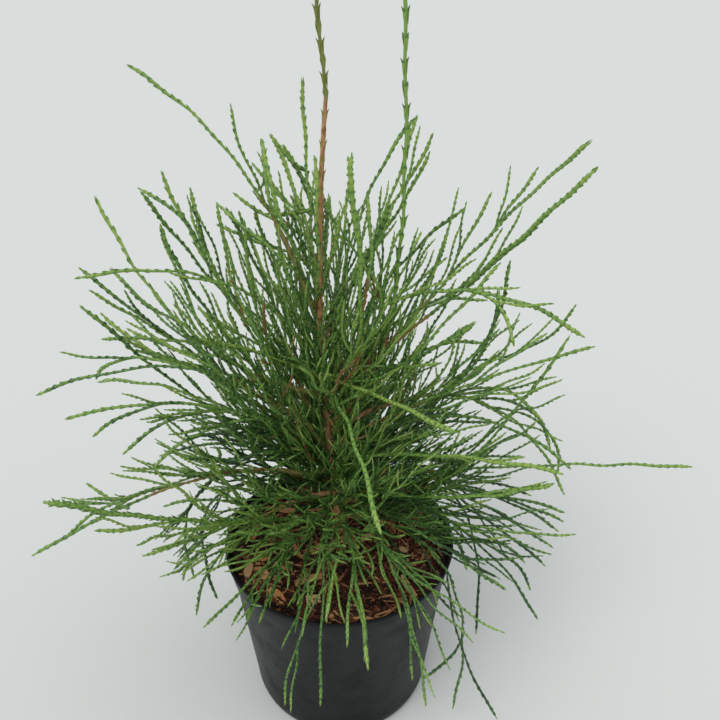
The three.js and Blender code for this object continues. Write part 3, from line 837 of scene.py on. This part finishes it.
def frames(cord, shares):
    """At each share the cord's direction and two directions square to it."""
    along = tangents(cord.ends, shares)
    across = cord.across - along * (along @ cord.across)[:, None]
    across /= np.linalg.norm(across, axis=1, keepdims=True)
    return along, across, np.cross(along, across)


def add_stem(spray, points, radii, across, over, tints):
    """A tube with a ring at each point, closed at both ends."""
    angles = np.arange(STEM_SIDES) * math.tau / STEM_SIDES
    ring = across[:, None] * np.cos(angles)[None, :, None]
    ring = ring + over[:, None] * np.sin(angles)[None, :, None]
    body = (points[:, None] + radii[:, None, None] * ring).reshape(-1, 3)
    count = len(points)
    low = np.arange(count - 1)[:, None] * STEM_SIDES + np.arange(STEM_SIDES)
    beside = np.arange(count - 1)[:, None] * STEM_SIDES + (np.arange(STEM_SIDES) + 1) % STEM_SIDES
    walls = [np.stack([low, beside, low + STEM_SIDES], axis=-1),
             np.stack([beside, beside + STEM_SIDES, low + STEM_SIDES], axis=-1)]
    walls = np.concatenate(walls, axis=1).reshape(-1, 3)
    top = (count - 1) * STEM_SIDES
    fans = [[0, s + 1, s] for s in range(1, STEM_SIDES - 1)]
    fans += [[top, top + s, top + s + 1] for s in range(1, STEM_SIDES - 1)]
    slots = np.append(np.repeat(tints[:-1], 2 * STEM_SIDES), np.full(len(fans), tints[0]))
    spray.add("twigs", body, np.vstack([walls, fans]), slots)


def add_scales(spray, shape, points, radii, pitches, along, across, over, rolls, tints):
    """Two scales stand opposite each other at each point, and each pair turns crosswise."""
    for opposite in (0, math.pi):
        turn = (rolls + opposite)[:, None]
        out = across * np.cos(turn) + over * np.sin(turn)
        sideways = np.cross(out, along)
        axes = np.stack([sideways * radii[:, None], out * radii[:, None],
                         along * pitches[:, None]], axis=1)
        body = points[:, None] + shape @ axes
        starts = np.arange(len(points)) * len(shape)
        faces = SCALE_FACES[None] + starts[:, None, None]
        # Painted shade: the scales' tip and under faces take darker greens; browns are left as they
        # are
        shaded = np.clip(tints[:, None] + SCALE_PAINTED_SHADE, 0, TIP + 1)
        slots = np.where(tints[:, None] > PALE, tints[:, None], shaded)
        spray.add("scales", body.reshape(-1, 3), faces.reshape(-1, 3), slots.ravel())


def sway_along(cord, shares, draw):
    """Small bends to and fro that fade out at the cord's root."""
    at = shares * cord.length
    fade = np.clip(at / SWAY_FADE, 0, 1)[:, None] * SWAY * (STIFFER if cord.level < 2 else 1)
    waves = np.sin(at / between(*WAVES, draw()) + math.tau * draw())[:, None] * cord.across
    rises = np.sin(at / between(*RISES, draw()) + math.tau * draw())[:, None]
    _, _, over = frames(cord, shares)
    return fade * (waves + rises * over)


def crown_painted_light(cord):
    """Painted light and shade: 0 deep in the shaded crown to about 1 on its lit outside, less low
    down by the stem in shade.
    """
    middle = bezier(cord.ends, LIGHT_AT)[0]
    out = math.hypot(middle[0] - FOOT_X, middle[1] - FOOT_Y)
    low = max(0, DARK_HEIGHT - middle[2]) / DARK_FALL * max(0, 1 - out / DARK_REACH)
    return min(1, out / LIGHT_REACH + max(0, middle[2] - LIGHT_HEIGHT) / LIGHT_RISE) - low


def cord_tints(row, cord, shares, draw):
    """The green of each pair of scales: painted shade inside the crown, painted light outwards, and
    lighter at tips.
    """
    fresh = row.name in FRESH
    light = LIGHT + LIGHT_OUTSIDE * crown_painted_light(cord) + LIGHT_ALONG * shares
    light += LIGHT_RANGE * (draw() - 0.5)
    # The shaded limbs and the low skirt take darker greens, as painted shade under the crown
    light += LIGHT_FRESH * fresh + LIGHT_SHADED * (row.name in SHADED_LIMBS)
    light += LIGHT_SKIRT * (row.name == "skirt") + LIGHT_FRONT * (row.name in FRONT)
    left = (1 - shares) * cord.length
    for tip, lighter in LIGHT_TIPS:
        light += np.where(left < tip, lighter, 0)
    flicker = np.array([draw() for _ in shares]) - 0.5
    tints = np.clip(np.round(light + LIGHT_FLICKER * flicker), 0, TIP - 1).astype(int)
    if cord.level < 2:
        tints[left < NEW_TIP] = TIP - 1
        tints[left < NEWEST_TIP] = TIP if fresh else TIP - 1
    return tints


def browned(row, cord, spots, tints, draw):
    """The tints with the older stretches of whips, and some roots near the stem, gone brown."""
    if cord.level == 0:
        if row.wood:
            tints = np.where(spots < row.wood + PAST_WOOD, OLIVE, tints)
        if row.name == "leader_top":
            tints = np.where(spots < MOSSY_LEADER, MOSS, tints)
        if row.name in BROWN_PARTS:
            first, last, browns = BROWN_PARTS[row.name]
            worn = np.resize(browns, len(spots))
            tints = np.where((spots > first) & (spots < last), worn, tints)
    root = cord.ends[0]
    from_stem = math.hypot(*(root - trunk_centre(root[2])))
    if from_stem < WOODY_REACH and draw() < WOODY_CHANCE:
        brown = spots < between(*WOODY_LENGTHS, draw())
        tints = np.where(brown, UMBER if draw() < UMBER_CHANCE else OLIVE, tints)
    return tints


def cord_size(row, cord, leader, draw):
    """The pitch and the radius of a cord, which differ a little from one to the next."""
    fat = FAT.get(row.name, 1) if cord.level == 0 else 1
    pitch, radius = PITCH[cord.level] / fat, CORD_RADIUS[cord.level] * fat
    if leader:
        pitch, radius = LEADER_PITCH, LEADER_RADIUS
    pitch *= between(*PITCHES, draw())
    radius *= between(*WIDTHS, draw()) - SLIMMER * (row.name in SLIM)
    return pitch * (FRONT_PITCH if row.name in FRONT else 1), radius


def swelling(row, cord, left):
    """A cord's width by what is left of it: plump in the outer part, and narrow at the tip."""
    plump = (FRONT_PLUMP if row.name in FRONT else PLUMP) * (cord.level < 2)
    narrow = np.clip(TIP_WIDTH + left / TIP_TAPER, TIP_LEAST, 1)
    return (1 + plump * np.clip(2 - 2 * left / PLUMP_ZONE, 0, 1)) * narrow


def dress_cord(spray, row, cord, draw):
    """The stem and the scales of one cord."""
    leader = row.name in LEADERS and cord.level == 0
    length = cord.length
    pitch, radius = cord_size(row, cord, leader, draw)
    spots = scale_spots(cord.start * length + FIRST_PAIR, length, pitch)
    if len(spots) < 2:
        return
    shares = spots / length
    tints = browned(row, cord, spots, cord_tints(row, cord, shares, draw), draw)
    radii = radius * swelling(row, cord, length - spots)
    shown = np.append(shares, 1)
    points = bezier(cord.ends, shown) + sway_along(cord, shown, draw)
    along, across, over = frames(cord, shown)
    root = bezier(cord.ends, cord.start - ROOT_SUNK / length)
    stem = np.concatenate([radii[:1], radii, [STEM_TIP]]) * STEM_SHARE
    shades = np.where(tints > PALE, tints, np.clip(tints, 0, TIP))
    rings = [0, *range(len(shown))]
    add_stem(spray, np.vstack([root, points]), stem, across[rings], over[rings],
             shades[[0, *range(len(tints)), -1]])
    rolls = math.tau * draw() + np.arange(len(spots)) * (math.pi / 2 + TWIST)
    pitches = np.diff(np.append(spots, length + PAST_TIP))
    shape = LEADER_SCALE if leader else SCALE
    if cord.level == 0 and row.name in SPIKY:
        shape = SPIKY_SCALE
    for scale, part in ((shape, slice(0, -2)), (TIP_SCALE, slice(-2, None))):
        add_scales(spray, scale, points[:-1][part], radii[part], pitches[part], along[:-1][part],
                   across[:-1][part], over[:-1][part], rolls[part], tints[part])


def dress_wood(spray, row, draw):
    """Dry scales that still clasp a bough: rust and umber, and olive towards its tip."""
    main = row.cords[0]
    spots = np.arange(row.wood * DRY_FROM, row.wood - DRY_SHORT, DRY_PITCH)
    worn = spots / row.wood
    tints = np.where(np.arange(len(spots)) % DRY_UMBER == 0, UMBER, RUST)
    tints = np.where((worn > DRY_OLIVE) | (row.name in OLIVE_WOOD), OLIVE, tints)
    shares = spots / main.length
    rolls = math.tau * draw() + np.arange(len(spots)) * math.pi / 2
    add_scales(spray, SCALE, bezier(main.ends, shares), bough_radius(worn) * DRY_WIDTH,
               np.full(len(spots), DRY_SCALE), *frames(main, shares), rolls, tints)


def dress_limb(row, owner):
    spray = Spray(row.name)
    draw = seeded(DRESS_SEED + owner)
    if row.split:
        dress_wood(spray, row, draw)
    for cord in row.cords:
        dress_cord(spray, row, cord, draw)
    return spray


# Materials
def linear(red, green, blue):
    """A colour given in screen values from 0 to 255, as a shader takes it."""
    channels = []
    for value in (red, green, blue):
        share = value / 255
        channels.append(share / 12.92 if share < 0.04045 else ((share + 0.055) / 1.055) ** 2.4)
    return (*channels, 1.0)


def plain(name, colour, roughness, gloss=0.5):
    material = bpy.data.materials.new(name)
    material.use_nodes = True
    shader = material.node_tree.nodes["Principled BSDF"]
    shader.inputs["Base Color"].default_value = linear(*colour)
    shader.inputs["Roughness"].default_value = roughness
    shader.inputs["Specular IOR Level"].default_value = gloss
    return material


def mottled(name, dark, pale, roughness, scale, bump, stretch=(1, 1, 1), gloss=0.5):
    """A surface whose colour wanders between two shades, with a fine bump to match."""
    material = plain(name, dark, roughness, gloss)
    nodes = material.node_tree.nodes
    link = material.node_tree.links.new
    shader = nodes["Principled BSDF"]
    place = nodes.new("ShaderNodeTexCoord")
    mapping = nodes.new("ShaderNodeMapping")
    mapping.inputs["Scale"].default_value = stretch
    grain = nodes.new("ShaderNodeTexNoise")
    grain.inputs["Scale"].default_value = scale
    grain.inputs["Detail"].default_value = 6
    ramp = nodes.new("ShaderNodeValToRGB")
    ramp.color_ramp.elements[0].color = linear(*dark)
    ramp.color_ramp.elements[0].position = 0.35
    ramp.color_ramp.elements[1].color = linear(*pale)
    ramp.color_ramp.elements[1].position = 0.72
    relief = nodes.new("ShaderNodeBump")
    relief.inputs["Strength"].default_value = bump
    relief.inputs["Distance"].default_value = 0.0004
    link(place.outputs["Object"], mapping.inputs["Vector"])
    link(mapping.outputs["Vector"], grain.inputs["Vector"])
    link(grain.outputs["Fac"], ramp.inputs["Fac"])
    link(ramp.outputs["Color"], shader.inputs["Base Color"])
    link(grain.outputs["Fac"], relief.inputs["Height"])
    link(relief.outputs["Normal"], shader.inputs["Normal"])
    return material


# The pot, spun from its profile
def inner_radius(height):
    low, knee, rim = FOOT_SHOULDER - WALL, WALL_TOP_RADIUS - WALL, RIM_RADIUS - LIP_THICKNESS
    if height < COLLAR_FOOT:
        return between(low, knee, (height - FOOT_CURVE) / (COLLAR_FOOT - FOOT_CURVE))
    return between(knee, rim, (height - COLLAR_FOOT) / COLLAR_HEIGHT)


def quarter_arc(start, end, steps):
    points = []
    for i in range(steps + 1):
        angle = i / steps * math.pi / 2
        points.append((between(start[0], end[0], math.sin(angle)),
                       between(end[1], start[1], math.cos(angle))))
    return points


def spun(name, profile, materials, steps=SPIN_STEPS):
    """A closed round piece, spun about the upright axis from a profile of radii and heights."""
    form = bmesh.new()
    points = [form.verts.new((radius * MM, 0, height * MM)) for radius, height in profile]
    edges = [form.edges.new(pair) for pair in zip(points[:-1], points[1:])]
    bmesh.ops.spin(form, geom=points + edges, cent=(0, 0, 0), axis=(0, 0, 1), angle=math.tau,
                   steps=steps, use_merge=True)
    bmesh.ops.remove_doubles(form, verts=form.verts, dist=1e-6)
    bmesh.ops.recalc_face_normals(form, faces=form.faces)
    mesh = mesh_from(form, name)
    mesh.polygons.foreach_set("use_smooth", [True] * len(mesh.polygons))
    return scene_piece(name, mesh, materials)


def make_pot():
    """The wall with its collar and its rounded lip, from the foot's groove round to the floor."""
    collar = WALL_TOP_RADIUS + COLLAR_STEP
    groove_inner, groove_outer = FOOT_RADIUS - GROOVE_INNER, FOOT_RADIUS - GROOVE_OUTER
    lip, bead = (RIM_RADIUS - LIP_THICKNESS / 2, POT_HEIGHT), POT_HEIGHT - RIM_BEAD
    profile = [(0, 0), (groove_inner, 0), (groove_inner + GROOVE_SLOPE, GROOVE_DEPTH),
               (groove_outer - GROOVE_SLOPE, GROOVE_DEPTH), (groove_outer, 0)]
    profile += quarter_arc((FOOT_RADIUS, 0), (FOOT_SHOULDER, FOOT_CURVE), 12)
    profile += [(WALL_TOP_RADIUS - 0.04, COLLAR_FOOT - 0.4), (WALL_TOP_RADIUS + 0.15, COLLAR_FOOT),
                (collar - 0.2, COLLAR_FOOT + 0.8), (collar, COLLAR_FOOT + 1.2)]
    profile += [(RIM_RADIUS - 0.6, POT_HEIGHT - LIP_HEIGHT), (RIM_RADIUS - 0.12, POT_HEIGHT - 1.6)]
    profile += quarter_arc(lip, (RIM_RADIUS, bead), 5)[::-1]
    profile += quarter_arc(lip, (inner_radius(POT_HEIGHT), bead), 5)[1:]
    profile += [(inner_radius(COLLAR_FOOT), COLLAR_FOOT)]
    foot = inner_radius(FOOT_CURVE)
    profile += quarter_arc((FOOT_RADIUS - 1, FLOOR), (foot, FOOT_CURVE), 4)[::-1]
    profile += [(0, FLOOR)]
    pot = spun("nursery_pot", profile, [pot_plastic()])
    cut_drains(pot)
    pot.data.set_sharp_from_angle(angle=math.radians(SHARP_ANGLE))
    return pot


def pot_plastic():
    """Black plastic with a faint moulded grain and a few dull scuffs."""
    material = mottled("black_pot_plastic", (17, 18, 20), (23, 24, 27), 0.5, 700, 0.1, gloss=0.14)
    nodes = material.node_tree.nodes
    link = material.node_tree.links.new
    mapping = nodes["Mapping"]
    scuffs = nodes.new("ShaderNodeTexNoise")
    scuffs.inputs["Scale"].default_value = 55
    scuffs.inputs["Detail"].default_value = 9
    scuffs.inputs["Roughness"].default_value = 0.7
    worn = nodes.new("ShaderNodeMapRange")
    worn.inputs["From Min"].default_value = 0.45
    worn.inputs["From Max"].default_value = 0.75
    worn.inputs["To Min"].default_value = 0.4
    worn.inputs["To Max"].default_value = 0.62
    link(mapping.outputs["Vector"], scuffs.inputs["Vector"])
    link(scuffs.outputs["Fac"], worn.inputs["Value"])
    link(worn.outputs["Result"], nodes["Principled BSDF"].inputs["Roughness"])
    return material


def cut_drains(pot):
    """Eight slots through the rounded foot."""
    form = bmesh.new()
    for i in range(DRAIN_SLOTS):
        turn = Matrix.Rotation((i + 0.5) * math.tau / DRAIN_SLOTS, 4, "Z")
        centre = Vector((FOOT_RADIUS + DRAIN_DEPTH / 2 - DRAIN_INSET, 0,
                         DRAIN_HEIGHT / 2 - DRAIN_SUNK)) * MM
        size = Matrix.Diagonal((DRAIN_DEPTH * MM, DRAIN_WIDTH * MM, DRAIN_HEIGHT * MM, 1))
        bmesh.ops.create_cube(form, size=1, matrix=turn @ Matrix.Translation(centre) @ size)
    cutter = scene_piece("drain_cutter", mesh_from(form, "drain_cutter"), [])
    cut = pot.modifiers.new("drains", "BOOLEAN")
    cut.object = cutter
    cut.solver = "EXACT"
    pot.data = mesh_of(pot)
    pot.modifiers.clear()
    bpy.data.objects.remove(cutter)


def mesh_of(piece):
    """The piece's mesh with its modifiers or its curve made solid."""
    return bpy.data.meshes.new_from_object(
        piece.evaluated_get(bpy.context.evaluated_depsgraph_get()))


# The compost
def soil_height(x, y):
    out = math.hypot(x, y)
    edge = inner_radius(SOIL_EDGE)
    past = max(0, out - SOIL_LEVEL_RADIUS) / (edge - SOIL_LEVEL_RADIUS)
    height = between(SOIL_TOP, SOIL_EDGE, past) - SOIL_SUNK
    for fineness, layer, size in SOIL_LUMPS:
        height += noise.noise(Vector((x * fineness, y * fineness, layer))) * size
    return height


def make_soil():
    edge = inner_radius(SOIL_EDGE) - SOIL_GAP
    foot = inner_radius(FOOT_CURVE)
    profile = [(0, FLOOR + GAP), (foot - SOIL_ROUND, FLOOR + GAP),
               (foot - 2 * SOIL_GAP, FOOT_CURVE + 2),
               (inner_radius(COLLAR_FOOT) - SOIL_GAP, COLLAR_FOOT)]
    profile += [(edge * (1 - i / SOIL_RINGS), SOIL_EDGE) for i in range(SOIL_RINGS + 1)]
    material = mottled("dark_compost", (26, 15, 11), (72, 41, 28), 0.95, 420, 0.9)
    body = spun("compost_body", profile, [material], steps=SOIL_SPIN_STEPS)
    for vertex in body.data.vertices:
        if vertex.co.z > (SOIL_EDGE - 1) * MM:
            vertex.co.z = soil_height(vertex.co.x / MM, vertex.co.y / MM) * MM
    return body


STRIP_CORNERS = ((-1, -1), (1, -1), (1, 1), (-1, 1))
STRIP_RINGS = 4
STRIP_DEPTHS = (0.7, 1.3)
STRIP_ROLL = 0.8
STRIP_CURL = 0.5
STRIP_SAG = 0.15
STRIP_ENDS = (0.25, 0.85)
STRIP_MIX = 1.4
STRIP_OVER = 2


def strip_faces(base):
    """The walls and the two ends of a strip whose points start at base."""
    faces = []
    for ring in range(STRIP_RINGS - 1):
        for side in range(4):
            a, b = base + ring * 4 + side, base + ring * 4 + (side + 1) % 4
            faces += [[a, b, b + 4], [a, b + 4, a + 4]]
    top = base + 4 * (STRIP_RINGS - 1)
    faces += [[base, base + 2, base + 1], [base, base + 3, base + 2]]
    faces += [[top, top + 1, top + 2], [top, top + 2, top + 3]]
    return faces


def strips(name, count, seed, lengths, widths, thickness, lift, tilt, materials, reach):
    """Loose fibres, crumbs or chips on the compost: bent strips that narrow to their ends."""
    draw = seeded(seed)
    points, faces, slots = [], [], []
    for _ in range(count):
        angle, out = math.tau * draw(), reach * math.sqrt(draw())
        x, y = out * math.cos(angle), out * math.sin(angle)
        length = between(*lengths, draw() ** 2)
        width = between(*widths, draw())
        depth = thickness * width * between(*STRIP_DEPTHS, draw())
        turn = math.tau * draw()
        ahead = unit(np.array([math.cos(turn), math.sin(turn), tilt * (draw() - 0.5)]))
        level = unit(unit(np.cross(UP, ahead)) + UP * STRIP_ROLL * (draw() - 0.5))
        high = np.cross(ahead, level)
        curl = length * (draw() - 0.5) * STRIP_CURL
        narrow = between(*STRIP_ENDS, draw())
        middle = np.array([x, y, soil_height(x, y) + lift * draw()])
        tint = int(draw() ** STRIP_MIX * len(materials))
        strip = []
        for ring in range(STRIP_RINGS):
            share = ring / (STRIP_RINGS - 1) - 0.5
            aside = curl * (2 * share * share - STRIP_SAG)
            centre = middle + ahead * length * share + level * aside
            half = width / 2 * (narrow if ring in (0, STRIP_RINGS - 1) else 1)
            strip += [centre + level * half * a + high * depth / 2 * b for a, b in STRIP_CORNERS]
        if max(math.hypot(point[0], point[1]) for point in strip) > reach + STRIP_OVER:
            continue
        walls = strip_faces(len(points))
        points += strip
        faces += walls
        slots += [tint] * len(walls)
    return joined_mesh(name, np.array(points), np.array(faces), np.array(slots), materials)


def make_litter():
    browns = {"black": (30, 17, 11), "umber": (58, 33, 22), "rust": (98, 54, 35),
              "red": (78, 40, 27), "tan": (136, 94, 62), "straw": (166, 124, 84)}
    pales = {"tan": (172, 128, 84), "amber": (172, 118, 72), "straw": (182, 146, 102),
             "brown": (124, 80, 52)}
    fibre = [plain("fibre_" + name, colour, 0.9, 0.2) for name, colour in browns.items()]
    chip = [plain("chip_" + name, colour, 0.85, 0.2) for name, colour in pales.items()]
    edge = inner_radius(SOIL_EDGE) - LITTER_INSET
    return [
        strips("compost_crumbs", CRUMBS, 11, (1.5, 5), (1.2, 3), 0.7, 0.5, 0.8, fibre[:4], edge),
        strips("compost_fibres", FIBRES, 12, (4, 24), (0.3, 1.1), 0.7, 1.2, 0.25, fibre, edge),
        strips("wood_chips", CHIPS, 13, (6, 18), (1.6, 6.5), 0.28, 1.5, 0.2, chip, edge - 2)]


# Trunk and boughs. The bark's relief is long ridges with finer pits over them, each told by its
# fineness across and along the limb and by its share of the relief.
BARK_RELIEF = ((0.8, 0.16, 1), (1.9, 0.8, 0.6))
TRUNK_RELIEF = 0.32
BOUGH_RELIEF = 0.13
SWEEP_STEP = 1.5
BOUGH_END = 0.65
BOUGH_END_ZONE = 12
TRUNK_SCALES_FROM = 205
TRUNK_SCALES_SHORT = 3
TRUNK_SCALES_WIDTH = 1.08
TRUNK_SCALES_TURN = 0.3
TRUNK_UMBER = 0.5
TRUNK_MOSSY = 12
TRUNK_SEED = 41


def bark_limb(name, points, radii, material, relief, seed):
    """A tapering round limb swept along points, with shallow ridges and hollows."""
    curve = bpy.data.curves.new(name, "CURVE")
    curve.dimensions = "3D"
    curve.bevel_depth = 1
    curve.bevel_resolution = 6
    curve.use_fill_caps = True
    spline = curve.splines.new("POLY")
    spline.points.add(len(points) - 1)
    for station, centre, radius in zip(spline.points, points, radii):
        station.co = (*(centre * MM), 1)
        station.radius = radius * MM
    sweep = bpy.data.objects.new(name, curve)
    bpy.context.scene.collection.objects.link(sweep)
    mesh = mesh_of(sweep)
    bpy.data.objects.remove(sweep)
    form = bmesh.new()
    form.from_mesh(mesh)
    bmesh.ops.remove_doubles(form, verts=form.verts, dist=1e-6)
    bmesh.ops.recalc_face_normals(form, faces=form.faces)
    form.normal_update()
    for vertex in form.verts:
        spot = vertex.co / MM
        for across, along, share in BARK_RELIEF:
            at = Vector((spot.x * across, spot.y * across, spot.z * along + seed))
            vertex.co += vertex.normal * noise.noise(at) * share * relief * MM
    form.to_mesh(mesh)
    form.free()
    mesh.polygons.foreach_set("use_smooth", [len(face.vertices) == 4 for face in mesh.polygons])
    return scene_piece(name, mesh, [material])


def make_trunk(material):
    heights = list(np.arange(SOIL_TOP + GAP, TRUNK_TOP, SWEEP_STEP)) + [TRUNK_TOP]
    radii = [trunk_radius(height) for height in heights]
    points = [trunk_centre(height) for height in heights]
    return bark_limb("trunk_bark", points, radii, material, TRUNK_RELIEF, 4)


def trunk_scales(paints):
    """The old scales of the upper stem, which stand out a little at each joint."""
    spray = Spray("trunk")
    draw = seeded(TRUNK_SEED)
    last = TRUNK_TOP - TRUNK_SCALES_SHORT
    for k, height in enumerate(np.arange(TRUNK_SCALES_FROM, last, LEADER_PITCH)):
        along = unit(trunk_centre(height + 1) - trunk_centre(height - 1))
        across = unit(np.cross(np.array([0.0, 1.0, 0.0]), along))
        tint = UMBER if draw() < TRUNK_UMBER else OLIVE
        if height > TRUNK_TOP - TRUNK_MOSSY:
            tint = MOSS
        add_scales(spray, LEADER_SCALE, trunk_centre(height)[None],
                   np.array([trunk_radius(height) * TRUNK_SCALES_WIDTH]),
                   np.array([LEADER_PITCH]), along[None], across[None],
                   np.cross(along, across)[None],
                   np.array([math.pi / 2 * k + TRUNK_SCALES_TURN]), np.array([tint]))
    return spray.joined("scales", "trunk_scales", paints)


def bough_radius(share):
    return between(BOUGH_RADIUS, BOUGH_TIP_RADIUS, share)


def make_bough(row, material):
    main = row.cords[0]
    end = row.split - GAP / main.length
    shares = np.linspace(0, 1, max(6, int(main.length * end / SWEEP_STEP)))
    points = bezier(main.ends, shares * end)
    narrowing = np.clip(BOUGH_END + (1 - shares) * row.wood / BOUGH_END_ZONE, 0, 1)
    return bark_limb("bark_" + row.name, points, bough_radius(shares) * narrowing, material,
                     BOUGH_RELIEF, len(row.name))


# The studio: a pale floor, soft light, and the camera where the photograph was taken from
CAMERA_AT = (11.7, -321, 402)
CAMERA_PITCH = 29.4
CAMERA_LENS = 37
SENSOR = 36
FLOOR_HALF = 30
NEAREST = 0.02
SKY_STRENGTH = 0.8
LIGHTS = {"key": ((-0.55, -0.75, 1.25), 40, 1.4), "fill": ((0.9, 0.1, 0.9), 70, 0.5)}


def make_studio():
    form = bmesh.new()
    bmesh.ops.create_grid(form, x_segments=1, y_segments=1, size=FLOOR_HALF)
    ground = plain("pale_floor", (205, 207, 203), 0.8, 0.1)
    scene_piece("floor", mesh_from(form, "floor"), [ground])
    world = bpy.data.worlds.new("studio")
    world.use_nodes = True
    sky = world.node_tree.nodes["Background"]
    sky.inputs["Color"].default_value = linear(236, 240, 244)
    sky.inputs["Strength"].default_value = SKY_STRENGTH
    bpy.context.scene.world = world
    for name, (towards, softness, strength) in LIGHTS.items():
        lamp = bpy.data.lights.new(name, "SUN")
        lamp.angle = math.radians(softness)
        lamp.energy = strength
        light = bpy.data.objects.new(name, lamp)
        light.rotation_euler = Vector(towards).to_track_quat("Z", "Y").to_euler()
        bpy.context.scene.collection.objects.link(light)
    lens = bpy.data.cameras.new("camera")
    lens.lens = CAMERA_LENS
    lens.sensor_width = SENSOR
    lens.clip_start = NEAREST
    camera = bpy.data.objects.new("camera", lens)
    camera.location = Vector(CAMERA_AT) * MM
    camera.rotation_euler = (math.radians(90 - CAMERA_PITCH), 0, 0)
    bpy.context.scene.collection.objects.link(camera)
    bpy.context.scene.camera = camera
    bpy.context.scene.view_settings.view_transform = "Standard"


def hand_over(piece, slot, *nodes):
    """The piece moves with the one body and stands for nodes, which it hides. The slot is not used.
    """
    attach(piece, "root")
    if nodes:
        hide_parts(*nodes)


make_studio()
grow_limbs()
hand_over(make_pot(), "pot", "pot")
hand_over(make_soil(), "compost", "soil")
for litter in make_litter():
    hand_over(litter, "compost")

bark = mottled("reddish_bark", (136, 94, 58), (194, 150, 102), 0.8, 700, 0.6, (1, 1, 0.3))
colours = {**GREENS, **BROWNS}
paints = [plain("scale_" + name, colour, 0.48, 0.4) for name, colour in colours.items()]
young_bark = mottled("olive_bark", (104, 104, 50), (150, 132, 74), 0.7, 700, 0.4, (1, 1, 0.3))
hand_over(make_trunk(bark), "bark", "trunk")
hand_over(trunk_scales(paints), "bark")
for owner, row in enumerate(LIMBS):
    if row.split:
        rind = young_bark if row.name in OLIVE_WOOD else bark
        hand_over(make_bough(row, rind), "bark", "bough_" + row.name)
    for piece in dress_limb(row, owner).pieces(paints):
        hand_over(piece, "foliage", "foliage_" + row.name)
for owner, row in enumerate([*LATE_LIMBS, grow_stem_shoots(), grow_skirt()], len(LIMBS)):
    for piece in dress_limb(row, owner).pieces(paints):
        hand_over(piece, "foliage")
